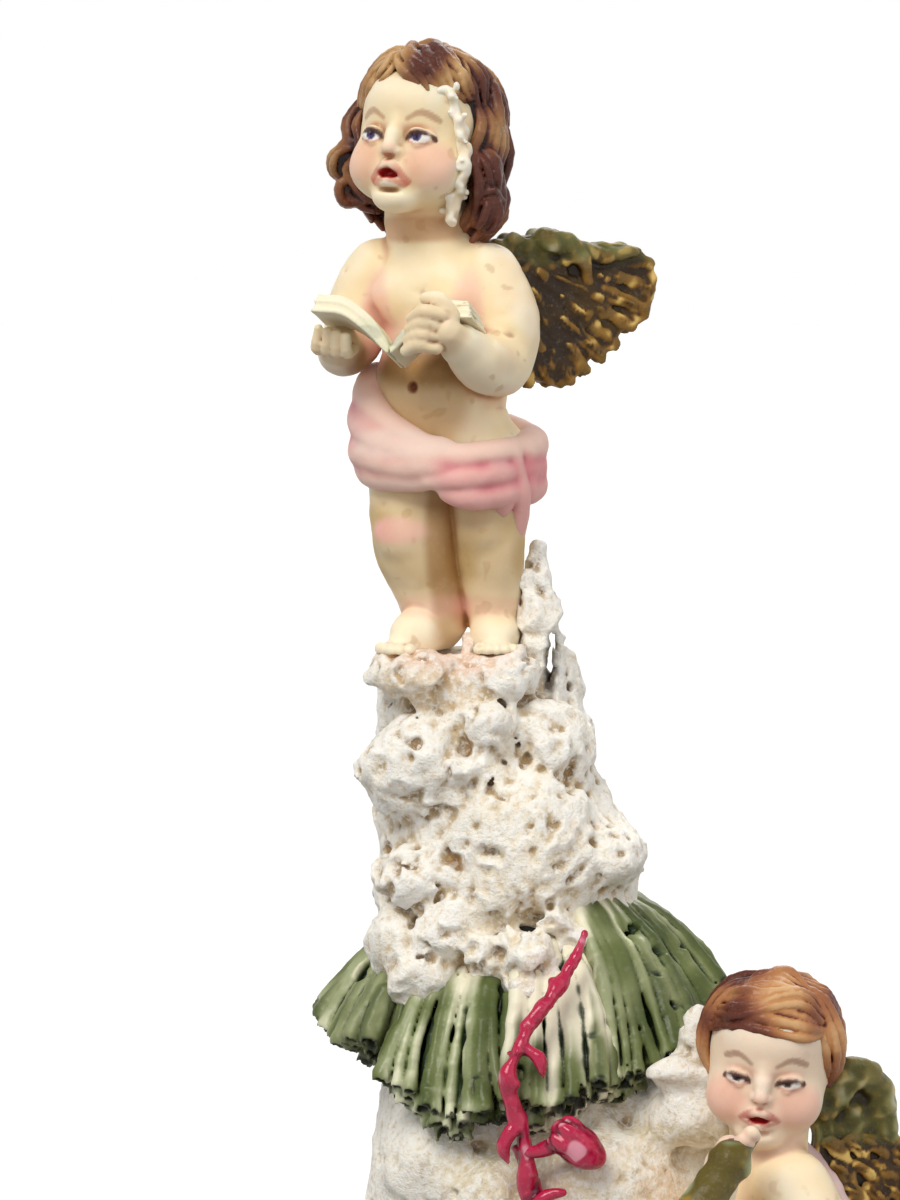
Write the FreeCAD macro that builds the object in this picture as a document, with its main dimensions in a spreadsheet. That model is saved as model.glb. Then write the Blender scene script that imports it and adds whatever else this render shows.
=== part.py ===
import FreeCAD, Part
import math
import os
from types import SimpleNamespace

import Sketcher
from FreeCAD import Placement, Rotation, Vector

# A bubbling aquarium ornament in cast, painted resin. A hollow coral-rock spire stands on a hollow
# mound. A standing cherub with an open book is fixed on the spire, and a seated cherub with a horn on
# the front right of the mound. Air comes in through a swivel elbow at the back, rises through a tube to
# an air stone inside the spire, and leaves as bubbles through a slot behind the standing cherub's feet.
# Millimetres. X to the viewer's right, Y away from the viewer, Z up, origin under the middle.

doc = FreeCAD.newDocument("BubblingOrnament")
sheet = doc.addObject("Spreadsheet::Sheet", "Sizes")
cells = {}


# ------------------------------------------------------------------------------------------- sizes
class Size:
    """A number together with the spreadsheet formula that gives it."""

    def __init__(self, number, formula=None):
        self.number = float(number)
        self.formula = formula or f"{self.number:g}"

    def __add__(self, other):
        other = size(other)
        return Size(self.number + other.number, f"({self.formula} + {other.formula})")

    __radd__ = __add__

    def __sub__(self, other):
        other = size(other)
        return Size(self.number - other.number, f"({self.formula} - {other.formula})")

    def __mul__(self, factor):
        factor = size(factor)
        return Size(self.number * factor.number, f"({self.formula} * {factor.formula})")

    def __neg__(self):
        return Size(-self.number, f"(0 - {self.formula})")

    def __float__(self):
        return self.number


def size(value):
    """value as a Size."""
    return value if isinstance(value, Size) else Size(value)


def keep(**values):
    """Writes each named size into the sheet, one row each, with its name as the alias."""
    for name, number in values.items():
        row = len(cells) + 1
        sheet.set(f"A{row}", name)
        sheet.set(f"B{row}", f"{number:g}")
        sheet.setAlias(f"B{row}", name)
        cells[name] = Size(number, f"Sizes.{name}")


# Resin walls and the rock
keep(spire_wall=3.2, mound_wall=3.6, spire_top=104.0, rim_height=1.5)
# Bubble slot in the top of the spire
keep(slot_x=-9.2, slot_y=4.8, slot_width=5.6, slot_depth=6.0, slot_below=9.0, slot_above=12.0)
# Coral skirt
keep(skirt_x=-12.0)
# Figures
keep(figure_unit=1.0, standing_x=-17.8, standing_y=0.0, seat_x=12.2, seat_y=-20.0, seat_height=25.3)
keep(wing_thickness=2.6, book_length=7.0)
keep(dowel_radius=0.8, leg_dowel_length=9.0, leg_dowel_sink=4.5, seat_dowel_length=13.0, seat_dowel_sink=8.0)
# Air line
keep(inlet_x=-12.0, inlet_height=11.0)
keep(boss_radius=7.5, boss_face=29.0, boss_root=18.0, recess_radius=6.5)
keep(grommet_hole=4.0, grommet_bore=2.55, grommet_lip=5.6, grommet_lip_depth=1.2, grommet_wall=5.0)
keep(elbow_shaft=2.5, elbow_leg=5.2, elbow_radius=3.6, collar_rise=1.6, collar_height=1.4)
keep(spigot_radius=2.4, spigot_length=12.0, spigot_tip_length=1.0, spigot_tip_taper=0.5)
keep(flange_radius=4.4, flange_thickness=0.9, flange_gap=0.1)
keep(barb_length=3.0, barb_swell=0.7, barb_gap=0.2)
keep(spigot_bore=1.3, shaft_bore=0.975, elbow_tail=1.45, elbow_tail_length=7.0)
keep(tube_outside=3.0, tube_bore=1.5, tube_bend=12.0, tube_gap=0.4, riser_y=2.0, tube_top=75.5)
keep(stone_radius=4.6, stone_bottom=79.5, stone_top=95.0, stone_bevel=0.8, stone_nose=1.2)
keep(nipple_radius=1.45, nipple_bore=0.7, nipple_plug=5.0, nipple_body=2.2, nipple_flange=3.4)
keep(cradle_height=76.5, cradle_thickness=2.4, cradle_blank=14.0, cradle_hole=2.3)
keep(passage_radius=1.9, passage_circle=7.4)
# Base
keep(plate_thickness=2.5, plate_clearance=0.75, plate_middle=-1.5, intake_radius=2.5, intake_circle=9.0)
keep(foot_radius=4.0, foot_height=1.5, foot_draft=0.4, foot_x=16.0, foot_y=14.0)
keep(screw_radius=1.2, screw_neck=1.18, screw_head=2.4, shank_length=8.0, screw_clearance=0.1)
keep(screw_x=24.6, screw_y=21.8, screw_hole_length=9.0)
keep(drive_long=1.5, drive_short=0.25, drive_depth=0.7, screw_boss=3.4, boss_height=12.0)
S = SimpleNamespace(**cells)
PASSAGES = 8  # water passages through the cradle
INTAKES = 6  # water intakes through the base plate
REACH = 60.0  # half the size of a cutting box that must clear everything
OVERLAP = 0.5  # how far neighbouring shapes of one solid run into each other
SKIM = 0.1  # how far a cutting shape runs past a face, so that the cut is clean


# ------------------------------------------------------------------------------------------- helpers
def bind(thing, field, value):
    """Ties a property to the sheet."""
    thing.setExpression(field, size(value).formula)


def place(thing, x=0, y=0, z=0, turn=None):
    """Puts a document object somewhere, with its position tied to the sheet."""
    thing.Placement = Placement(Vector(float(x), float(y), float(z)), turn or Rotation())
    for axis, value in zip("xyz", (x, y, z)):
        bind(thing, f".Placement.Base.{axis}", value)
    return thing


def primitive(kind, name, **fields):
    """A Part primitive whose sizes are tied to the sheet."""
    thing = doc.addObject(f"Part::{kind}", name)
    for field, value in fields.items():
        setattr(thing, field, float(value))
        bind(thing, field, value)
    return thing


def fuse(name, shapes):
    """One solid made of several overlapping ones."""
    thing = doc.addObject("Part::MultiFuse", name)
    thing.Shapes = shapes
    thing.Refine = False
    return thing


def cut(name, base, *tools):
    """base without each of the tools."""
    for tool in tools:
        thing = doc.addObject("Part::Cut", name)
        thing.Base = base
        thing.Tool = tool
        thing.Refine = False
        base = thing
    return base


parts = []


def part(label, thing):
    """Declares a finished sub-part. Its Label names its file."""
    thing.Label = label
    parts.append(thing)
    return thing


def toward(start, end):
    """The rotation that takes +Z to the direction from start to end."""
    step = Vector(*[float(e) - float(s) for s, e in zip(start, end)])
    return Rotation(Vector(0, 0, 1), step)


def distance(start, end):
    return Vector(*[float(e) - float(s) for s, e in zip(start, end)]).Length


def sketch_on(body, plane, name, offset=0, turn=None):
    """A sketch on one of a body's origin planes, moved along its normal by offset."""
    sketch = body.newObject("Sketcher::SketchObject", name)
    origin_plane = next(f for f in body.Origin.OriginFeatures if f.Role == plane)
    sketch.AttachmentSupport = [(origin_plane, "")]
    sketch.MapMode = "FlatFace"
    sketch.AttachmentOffset = Placement(Vector(0, 0, float(offset)), turn or Rotation())
    bind(sketch, ".AttachmentOffset.Base.z", offset)
    return sketch


def hold_point(sketch, geometry, point, x, y):
    """Holds a sketch point at (x, y) from the sketch's origin."""
    for kind, value, axis in (("DistanceX", x, -2), ("DistanceY", y, -1)):
        value = size(value)
        if value.number == 0:
            sketch.addConstraint(Sketcher.Constraint("PointOnObject", geometry, point, axis))
            continue
        index = sketch.addConstraint(
            Sketcher.Constraint(kind, -1, 1, geometry, point, value.number)
        )
        sketch.setExpression(f"Constraints[{index}]", value.formula)


def circle(sketch, radius, x=0, y=0):
    """A circle with its radius and centre tied to the sheet."""
    centre = Vector(float(x), float(y), 0)
    index = sketch.addGeometry(Part.Circle(centre, Vector(0, 0, 1), float(radius)))
    held = sketch.addConstraint(Sketcher.Constraint("Radius", index, float(radius)))
    bind(sketch, f"Constraints[{held}]", radius)
    hold_point(sketch, index, 3, x, y)


def outline(sketch, points):
    """A closed outline of straight lines, with each corner tied to the sheet."""
    corners = [Vector(float(x), float(y), 0) for x, y in points]
    ends = corners[1:] + corners[:1]
    first = sketch.GeometryCount
    for start, end in zip(corners, ends):
        sketch.addGeometry(Part.LineSegment(start, end))
    for i, (x, y) in enumerate(points):
        before = first + (i - 1) % len(points)
        sketch.addConstraint(Sketcher.Constraint("Coincident", before, 2, first + i, 1))
        hold_point(sketch, first + i, 1, x, y)


def new_body(name):
    return doc.addObject("PartDesign::Body", name)


def pad(body, sketch, length, both_ways=False):
    feature = body.newObject("PartDesign::Pad", sketch.Name + "Pad")
    feature.Profile = sketch
    feature.Midplane = both_ways
    bind(feature, "Length", length)
    return feature


def pocket_through(body, sketch):
    feature = body.newObject("PartDesign::Pocket", sketch.Name + "Pocket")
    feature.Profile = sketch
    feature.Type = 1
    feature.Midplane = True
    return feature


def turned(label, points, plane="XZ_Plane", axis="V_Axis"):
    """A sub-part turned about an axis of its sketch plane, from its half profile."""
    body = new_body(label)
    sketch = sketch_on(body, plane, label + "_profile")
    outline(sketch, points)
    feature = body.newObject("PartDesign::Revolution", label + "_turned")
    feature.Profile = sketch
    feature.ReferenceAxis = (sketch, [axis])
    feature.Angle = 360
    return body


# ------------------------------------------------------------------------------------------- rock
# Each section of the rock: height, centre x, centre y, half width, half depth.
SPIRE_SECTIONS = (
    (64.0, -12.6, 0.0, 13.6, 12.6),
    (72.0, -13.0, 0.0, 14.4, 13.4),
    (84.0, -13.2, 0.3, 14.4, 13.2),
    (93.0, -15.4, 0.6, 12.8, 11.6),
    (99.0, -16.2, 0.8, 11.0, 10.2),
    (104.0, -17.3, 0.8, 9.4, 9.2),
)
MOUND_SECTIONS = (
    (1.5, -0.2, -1.5, 32.9, 30.0),
    (14.0, -0.4, -1.0, 31.0, 28.4),
    (30.0, -1.4, 0.0, 28.0, 24.6),
    (46.0, -3.0, 0.0, 24.4, 20.6),
    (56.0, -6.0, 0.0, 20.6, 17.0),
    (64.0, -9.6, 0.0, 17.0, 14.4),
)


def sections_in_sheet(name, rows):
    """The rows of a rock, each number kept in the sheet under its own name."""
    made = []
    for i, row in enumerate(rows, 1):
        names = [f"{name}_{i}_{word}" for word in ("height", "x", "y", "half_width", "half_depth")]
        keep(**dict(zip(names, row)))
        made.append([cells[n] for n in names])
    return made


def loft(name, rows, inset=0):
    """A smooth solid through elliptical sections, each smaller than its row by inset."""
    rings = []
    for i, (height, x, y, half_width, half_depth) in enumerate(rows):
        ring = primitive(
            "Ellipse",
            f"{name}_ring_{i}",
            MajorRadius=half_width - inset,
            MinorRadius=half_depth - inset,
        )
        rings.append(place(ring, x, y, height))
    thing = doc.addObject("Part::Loft", name)
    thing.Sections = rings
    thing.Solid = True
    thing.Ruled = False
    return thing


def ellipsoid(name, at, radii, turn=None):
    """An ellipsoid with half sizes radii along its own x, y and z."""
    thing = primitive("Ellipsoid", name, Radius1=radii[2], Radius2=radii[0], Radius3=radii[1])
    return place(thing, *at, turn=turn)


def box(name, low, high):
    """A box between two corners."""
    thing = primitive(
        "Box",
        name,
        Length=size(high[0]) - low[0],
        Width=size(high[1]) - low[1],
        Height=size(high[2]) - low[2],
    )
    return place(thing, *low)


def cylinder(name, at, radius, height, turn=None):
    thing = primitive("Cylinder", name, Radius=radius, Height=height)
    return place(thing, *at, turn=turn)


def cone(name, start, end, start_radius, end_radius):
    """A tapered rod between two points."""
    thing = primitive(
        "Cone",
        name,
        Radius1=start_radius,
        Radius2=end_radius,
        Height=distance(start, end),
    )
    return place(thing, *start, turn=toward(start, end))


TO_BACK = Rotation(Vector(1, 0, 0), -90)  # takes +Z to +Y

spire_rows = sections_in_sheet("spire", SPIRE_SECTIONS)
mound_rows = sections_in_sheet("mound", MOUND_SECTIONS)

# Metal dowels stand in the rock, one for each foot of the standing cherub and one under the seated cherub
leg_dowel_foot = S.spire_top - S.leg_dowel_sink
leg_dowels = [
    cylinder("leg_dowel_left", (-20.2, 1.0, leg_dowel_foot), S.dowel_radius, S.leg_dowel_length),
    cylinder("leg_dowel_right", (-14.7, -0.9, leg_dowel_foot), S.dowel_radius, S.leg_dowel_length),
]
seat_dowel_foot = (S.seat_x - 0.8, S.seat_y + 0.7, S.seat_height - S.seat_dowel_sink)
seat_dowel = cylinder("seat_dowel", seat_dowel_foot, S.dowel_radius, S.seat_dowel_length)

# The spire: an outer skin, a spur beside the right foot and a ridge behind it, hollow up to its roof
spur = cone("spur", (-9.9, -1.4, 97.0), (-10.7, -1.0, 114.0), 2.8, 1.1)
ridge = ellipsoid("ridge", (-5.4, 4.2, 101.5), (2.2, 4.4, 5.6))
spire_skin = fuse("spire_skin", [loft("spire_outer", spire_rows), spur, ridge])
hollow_rows = [list(row) for row in spire_rows[:-1]]
hollow_rows[0][0] = hollow_rows[0][0] - SKIM
spire_hollow = loft("spire_inner", hollow_rows, S.spire_wall)
slot_low = (S.slot_x - S.slot_width * 0.5, S.slot_y - S.slot_depth * 0.5, S.spire_top - S.slot_below)
slot_high = (S.slot_x + S.slot_width * 0.5, S.slot_y + S.slot_depth * 0.5, S.spire_top + S.slot_above)
slot = box("bubble_slot", slot_low, slot_high)
spire = cut("spire_shell", spire_skin, spire_hollow, slot, *leg_dowels)

# The mound: an outer skin with a seat and a foot ledge for the seated cherub, hollow and open below
seat = ellipsoid("seat_rock", (13.5, -19.0, S.seat_height - 14.0), (15.0, 14.0, 14.5))
ledge = ellipsoid("ledge_rock", (12.0, -27.5, S.seat_height - 20.5), (13.5, 9.0, 11.0))
inlet_boss = cylinder(
    "inlet_boss",
    (S.inlet_x, S.boss_root, S.inlet_height),
    S.boss_radius,
    S.boss_face - S.boss_root,
    TO_BACK,
)
below = box("below_rim", (-REACH, -REACH, -REACH), (REACH, REACH, S.rim_height))
mound_skin = cut(
    "mound_skin", fuse("mound_lumps", [loft("mound_outer", mound_rows), seat, ledge, inlet_boss]), below
)
mound_hollow_rows = [list(row) for row in mound_rows]
mound_hollow_rows[0][0] = mound_hollow_rows[0][0] - SKIM
mouth = [mound_rows[-1][0] + SKIM] + spire_rows[0][1:]
mound_hollow_rows[-1] = mouth[:3] + [radius - S.spire_wall + S.mound_wall for radius in mouth[3:]]
mound_hollow = loft("mound_inner", mound_hollow_rows, S.mound_wall)
boss_spots = [
    (S.screw_x, S.plate_middle),
    (-S.screw_x, S.plate_middle),
    (0, S.plate_middle + S.screw_y),
    (0, S.plate_middle - S.screw_y),
]
plate_top = S.rim_height + S.plate_thickness
bosses = []
for i, (x, y) in enumerate(boss_spots, 1):
    bosses.append(cylinder(f"screw_boss_{i}", (x, y, plate_top), S.screw_boss, S.boss_height))
screw_holes = []
for i, (x, y) in enumerate(boss_spots, 1):
    foot = (x, y, plate_top - OVERLAP)
    hole_length = S.screw_hole_length + OVERLAP
    screw_holes.append(cylinder(f"screw_hole_{i}", foot, S.screw_radius, hole_length))
inlet_middle = (S.inlet_x, 0, S.inlet_height)
inlet_hole = cylinder("inlet_hole", inlet_middle, S.grommet_hole, S.boss_face + OVERLAP, TO_BACK)
recess_depth = S.boss_face - S.grommet_wall
inlet_recess = cylinder("inlet_recess", inlet_middle, S.recess_radius, recess_depth, TO_BACK)
boss_ring = fuse("boss_ring", bosses)
kept_bosses = doc.addObject("Part::Common", "kept_bosses")
kept_bosses.Base = boss_ring
kept_bosses.Tool = mound_skin
mound_open = cut("mound_open", mound_skin, mound_hollow)
mound = cut(
    "mound_shell",
    fuse("mound_with_bosses", [mound_open, kept_bosses]),
    *screw_holes,
    inlet_hole,
    inlet_recess,
    seat_dowel,
)

part("coral_spire", spire)
part("coral_mound", mound)


# ------------------------------------------------------------------------------------------- coral skirt
# Each fan of tubes is a sector of the skirt: name, first and last angle (from +X, towards +Y), rim radius,
# rim height, top height
FANS = (
    ("tube_coral_right", -58, 12, 19.9, 66.5, 79.0),
    ("tube_coral_front", -92, -59, 20.4, 60.0, 76.5),
    ("tube_coral_front_left", -150, -93, 20.6, 58.4, 75.0),
    ("tube_coral_left", -196, -151, 19.9, 63.5, 75.5),
    ("tube_coral_back_left", 111, 163, 19.2, 61.5, 74.5),
    ("tube_coral_back_right", 13, 110, 19.0, 63.0, 76.0),
)
FAN_LIP = 2.2  # depth of the rim's end face
FAN_ROOT = 11.0  # radius where the tubes leave the spire
FAN_SHOULDER = 0.76  # where the tubes turn down, as a share of the rim's radius


def fan(label, first, last, rim_radius, rim_height, top_height):
    """A sector of the skirt, from its root on the spire to its flared rim."""
    keep(**{label + "_rim": rim_radius, label + "_low": rim_height, label + "_top": top_height})
    rim, low, top = (cells[label + word] for word in ("_rim", "_low", "_top"))
    body = new_body(label + "_sector")
    sketch = sketch_on(body, "XZ_Plane", label + "_profile")
    outline(
        sketch,
        [
            (FAN_ROOT, top),
            (rim * FAN_SHOULDER, top - 1.5),
            (rim, low + 3.2),
            (rim - FAN_LIP * 0.3, low),
            (rim - FAN_LIP * 1.8, low - 0.8),
            (FAN_ROOT, low + 2.0),
        ],
    )
    feature = body.newObject("PartDesign::Revolution", label + "_swept")
    feature.Profile = sketch
    feature.ReferenceAxis = (sketch, ["V_Axis"])
    feature.Angle = last - first
    place(body, S.skirt_x, 0, 0, Rotation(Vector(0, 0, 1), first))
    return body


fan_parts = [part(row[0], cut(row[0] + "_cut", fan(*row), spire_skin, mound_skin)) for row in FANS]


# ------------------------------------------------------------------------------------------- figures
YAW = -24.0  # the figures look to the viewer's left
FACING = Rotation(Vector(0, 0, 1), YAW)
JOINT_SWELL = 1.04  # a limb's round joints are a little fatter than its rods, so that they meet cleanly


class Figure:
    """Builds a figure's pieces from points counted in figure units from its own origin."""

    def __init__(self, name, x, y, z):
        self.name, self.origin, self.made = name, (x, y, z), 0

    def at(self, point):
        return tuple(base + S.figure_unit * value for base, value in zip(self.origin, point))

    def label(self):
        self.made += 1
        return f"{self.name}_{self.made}"

    def ball(self, point, radii, turn=None):
        sized = [S.figure_unit * r for r in radii]
        return ellipsoid(self.label(), self.at(point), sized, turn)

    def knob(self, point, radius):
        thing = primitive("Sphere", self.label(), Radius=S.figure_unit * radius)
        return place(thing, *self.at(point))

    def limb(self, points, radii):
        """Tapered rods from point to point with a round joint at each."""
        made = []
        for start, end, r0, r1 in zip(points, points[1:], radii, radii[1:]):
            made.append(
                cone(self.label(), self.at(start), self.at(end), S.figure_unit * r0, S.figure_unit * r1)
            )
        made += [self.knob(p, r * JOINT_SWELL) for p, r in zip(points, radii)]
        return made


standing = Figure("standing", S.standing_x, S.standing_y, S.spire_top)
standing_mass = (
    [
        standing.ball((-1.6, 0.2, 20.0), (7.6, 5.7, 5.4), FACING),
        standing.ball((-2.6, -0.6, 27.0), (7.4, 5.9, 6.6), FACING),
        standing.ball((-2.9, 0.0, 35.0), (7.8, 5.2, 6.0), FACING),
        standing.ball((-4.5, -0.8, 51.4), (6.2, 6.7, 7.8), FACING),
    ]
    + standing.limb([(-3.2, 0.6, 38.0), (-4.0, 0.0, 46.0)], (4.4, 3.8))
    + standing.limb([(4.2, -3.0, 37.0), (5.0, -3.8, 28.6), (-1.4, -10.4, 31.6)], (3.6, 3.1, 2.0))
    + standing.limb([(-9.6, 3.2, 37.0), (-11.2, 1.2, 28.8), (-12.6, -5.2, 30.4)], (3.2, 2.8, 1.9))
    + standing.limb([(-5.2, 0.9, 18.0), (-4.0, -0.2, 11.0), (-2.5, 1.0, 4.0)], (4.7, 4.2, 3.3))
    + standing.limb([(2.9, -1.6, 18.0), (3.0, -2.3, 11.0), (3.3, -0.8, 3.8)], (4.2, 3.4, 2.5))
    + [
        standing.ball((-3.9, -1.8, 1.0), (2.6, 4.6, 2.4), Rotation(Vector(0, 0, 1), -32)),
        standing.ball((3.2, -3.0, 1.0), (2.4, 4.4, 2.3), Rotation(Vector(0, 0, 1), -6)),
    ]
)
seated = Figure("seated", S.seat_x, S.seat_y, S.seat_height)
seated_mass = (
    [
        seated.ball((-1.0, 0.2, 5.4), (7.4, 5.8, 5.6), FACING),
        seated.ball((-1.2, -0.2, 14.6), (6.2, 5.3, 7.2), FACING),
        seated.ball((-1.4, 0.2, 23.6), (6.4, 4.8, 6.2), FACING),
        seated.ball((0.0, -0.8, 40.2), (6.6, 7.0, 8.2), FACING),
    ]
    + seated.limb([(-0.9, 0.4, 28.0), (-0.2, 0.0, 35.0)], (3.9, 3.3))
    + seated.limb([(1.8, -2.6, 28.0), (6.4, -4.4, 18.6), (-2.4, -11.2, 19.6)], (3.7, 3.0, 1.9))
    + seated.limb([(-5.2, 2.6, 25.4), (-8.8, -3.4, 18.4), (-3.8, -9.4, 33.6)], (3.0, 2.5, 1.8))
    + seated.limb([(-4.4, -2.0, 5.0), (-5.2, -10.2, 6.8), (-4.4, -11.4, -5.4)], (4.4, 3.7, 2.5))
    + seated.limb([(3.0, -2.4, 5.0), (4.2, -10.8, 6.6), (4.4, -11.6, -5.6)], (4.4, 3.7, 2.5))
    + [
        seated.ball((-4.9, -13.0, -7.6), (2.3, 3.8, 1.9), Rotation(Vector(0, 0, 1), -14)),
        seated.ball((4.2, -13.2, -7.8), (2.3, 3.8, 1.9), Rotation(Vector(0, 0, 1), -2)),
    ]
)
standing_solid = fuse("standing_solid", standing_mass)
seated_solid = fuse("seated_solid", seated_mass)

WING_OUT = Vector(0.93, 0.37, 0)  # the way the wing on the viewer's right leaves the back
WING_BACK = Vector(-0.30, 0.954, 0)  # the way the far wing leaves the back
DOWEL_TAPER = 0.95  # the far end of a wing dowel, as a share of its radius
WING_DOWELS = (
    ("wing_dowel_out", standing, (0.4, 1.8, 34.5), (6.5, 4.2, 34.5)),
    ("wing_dowel_back", standing, (-3.4, 2.6, 34.5), (-5.2, 8.4, 34.5)),
    ("wing_dowel_seated", seated, (1.6, 1.0, 24.0), (8.4, 3.6, 24.0)),
)
wing_dowels = [
    cone(name, figure.at(start), figure.at(end), S.dowel_radius, S.dowel_radius * DOWEL_TAPER)
    for name, figure, start, end in WING_DOWELS
]


# Outlines of the wings: distance out from the root, height above the root
SPREAD_WING = (
    (0.0, 3.6),
    (0.0, 12.4),
    (3.5, 15.2),
    (9.0, 14.6),
    (14.6, 15.0),
    (17.4, 13.2),
    (17.0, 9.0),
    (14.6, 6.2),
    (10.2, 2.8),
    (7.0, 0.0),
    (4.6, 0.6),
)
FOLDED_WING = (
    (0.0, 7.0),
    (0.0, 19.0),
    (2.4, 24.0),
    (4.4, 25.6),
    (8.2, 24.2),
    (8.8, 19.0),
    (10.0, 13.0),
    (12.0, 8.0),
    (11.4, 3.0),
    (8.4, 0.0),
    (4.8, -1.0),
    (1.4, 2.0),
)


def wing(label, root, direction, points):
    """A flat cast wing that stands on its root and leaves it along direction."""
    body = new_body(label + "_blank")
    sketch = sketch_on(body, "XZ_Plane", label + "_outline")
    outline(sketch, [(S.figure_unit * out, S.figure_unit * up) for out, up in points])
    pad(body, sketch, S.wing_thickness, both_ways=True)
    place(body, *root, turn=Rotation(Vector(1, 0, 0), direction))
    return body


wing_left = wing("standing_wing_left", standing.at((1.6, 3.0, 26.6)), WING_OUT, SPREAD_WING)
wing_right = wing("standing_wing_right", standing.at((-3.6, 4.6, 26.6)), WING_BACK, SPREAD_WING)
seated_wing = wing("seated_wing", seated.at((4.0, 2.4, 13.6)), WING_OUT, FOLDED_WING)

# Sash round the hips, with a tail that hangs from the hip to the rock spur. Each section: height above the
# feet, centre x, centre y, half width, half depth.
SASH_SECTIONS = (
    (13.6, -0.8, 0.2, 8.2, 6.4),
    (16.5, -0.9, 0.2, 8.9, 7.0),
    (21.5, -1.9, 0.2, 8.9, 6.9),
    (25.2, -2.6, 0.2, 7.6, 6.0),
)
SASH_TILT = Rotation(Vector(0, 1, 0), 7)
sash_rings = []
for i, (up, x, y, half_width, half_depth) in enumerate(SASH_SECTIONS):
    ring = primitive(
        "Ellipse",
        f"sash_ring_{i}",
        MajorRadius=S.figure_unit * half_width,
        MinorRadius=S.figure_unit * half_depth,
    )
    sash_rings.append(place(ring, *standing.at((x, y, up)), turn=SASH_TILT))
sash_band = doc.addObject("Part::Loft", "sash_band")
sash_band.Sections = sash_rings
sash_band.Solid = True
sash_tail = standing.limb([(7.0, -1.0, 18.6), (7.4, -0.2, 14.0), (6.0, 1.4, 9.4)], (1.7, 1.5, 1.1))
sash = fuse("sash_cloth", [sash_band] + sash_tail)

# Hair: a cap with side curls, open at the face
hair_cap = [
    standing.ball((-4.2, 0.9, 52.8), (7.5, 7.4, 7.6), FACING),
    standing.ball((-10.6, 1.6, 48.6), (3.0, 3.4, 4.4)),
    standing.ball((2.0, -1.2, 47.0), (2.5, 3.2, 4.6)),
    standing.ball((-3.0, 5.4, 47.5), (5.4, 3.0, 4.8)),
]
face_opening = standing.ball((-8.0, -8.0, 49.0), (6.4, 5.8, 7.2), FACING)
seated_hair_cap = [
    seated.ball((0.4, 0.9, 42.2), (7.2, 7.8, 7.6), FACING),
    seated.ball((5.4, 1.2, 37.6), (2.2, 3.4, 4.6)),
]
seated_face_opening = seated.ball((-2.8, -9.0, 38.4), (6.8, 5.8, 7.2), FACING)

# The open book: a shallow V of two covers full of pages, spine down
BOOK_OUTLINE = (
    (0.0, -1.0),
    (8.6, 2.0),
    (8.9, 3.6),
    (4.2, 2.6),
    (0.0, 0.7),
    (-4.0, 3.3),
    (-7.9, 4.9),
    (-8.4, 3.2),
)
book_body = new_body("book_blank")
book_sketch = sketch_on(book_body, "XZ_Plane", "book_profile")
outline(book_sketch, [(S.figure_unit * a, S.figure_unit * b) for a, b in BOOK_OUTLINE])
pad(book_body, book_sketch, S.figure_unit * S.book_length, both_ways=True)
place(book_body, *standing.at((-6.6, -9.3, 30.8)), turn=Rotation(Vector(0, 0, 1), -12))

# The horn: from the seated cherub's mouth down to its bell
MOUTHPIECE_RADIUS, HORN_RADIUS, BELL_RADIUS = 0.8, 1.5, 3.6
horn_line = [(-2.8, -9.8, 35.4), (-7.2, -12.6, 28.8), (-11.6, -13.8, 21.4)]
horn_solid = fuse(
    "horn_solid",
    seated.limb(horn_line[:2], (MOUTHPIECE_RADIUS, HORN_RADIUS))
    + [cone("horn_bell", seated.at(horn_line[1]), seated.at(horn_line[2]), HORN_RADIUS, BELL_RADIUS)],
)

# The scarf over its shoulder and the drape over its lap
scarf_line = [(3.0, 0.8, 31.4), (5.6, 0.4, 25.0), (7.4, 0.6, 16.0), (7.6, 0.0, 8.0)]
scarf_solid = fuse("scarf_solid", seated.limb(scarf_line, (1.3, 1.5, 1.7, 1.9)))
drape_solid = fuse(
    "drape_solid",
    [
        seated.ball((-0.4, -4.6, 6.0), (9.4, 9.4, 5.6), FACING),
        seated.ball((0.6, -9.6, 1.0), (4.0, 4.4, 6.4)),
    ],
)

# Every piece gives way to the ones it is fixed to
part("standing_cherub_figure", cut("figure_1", standing_solid, *leg_dowels, *wing_dowels[:2], spire_skin))
part("seated_cherub_figure", cut("figure_2", seated_solid, seat_dowel, wing_dowels[2], mound_skin))
hair_mass = fuse("hair_mass_1", hair_cap)
part("standing_cherub_hair", cut("hair_1", hair_mass, face_opening, standing_solid))
seated_hair_mass = fuse("hair_mass_2", seated_hair_cap)
part("seated_cherub_hair", cut("hair_2", seated_hair_mass, seated_face_opening, seated_solid))
part("standing_cherub_sash", cut("sash_cut", sash, standing_solid, spire_skin))
part("standing_cherub_book", cut("book_cut", book_body, standing_solid))
part("standing_cherub_wing_left", cut("wing_cut_1", wing_left, standing_solid, wing_dowels[0]))
part("standing_cherub_wing_right", cut("wing_cut_2", wing_right, standing_solid, wing_left, wing_dowels[1]))
part(
    "seated_cherub_wing",
    cut("wing_cut_3", seated_wing, seated_solid, seated_hair_mass, scarf_solid, mound_skin, wing_dowels[2]),
)
part("seated_cherub_horn", cut("horn_cut", horn_solid, seated_solid))
part(
    "seated_cherub_scarf",
    cut("scarf_cut", scarf_solid, seated_solid, mound_skin, drape_solid, wing_dowels[2]),
)
part("seated_cherub_drape", cut("drape_cut", drape_solid, seated_solid, mound_skin))

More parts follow.
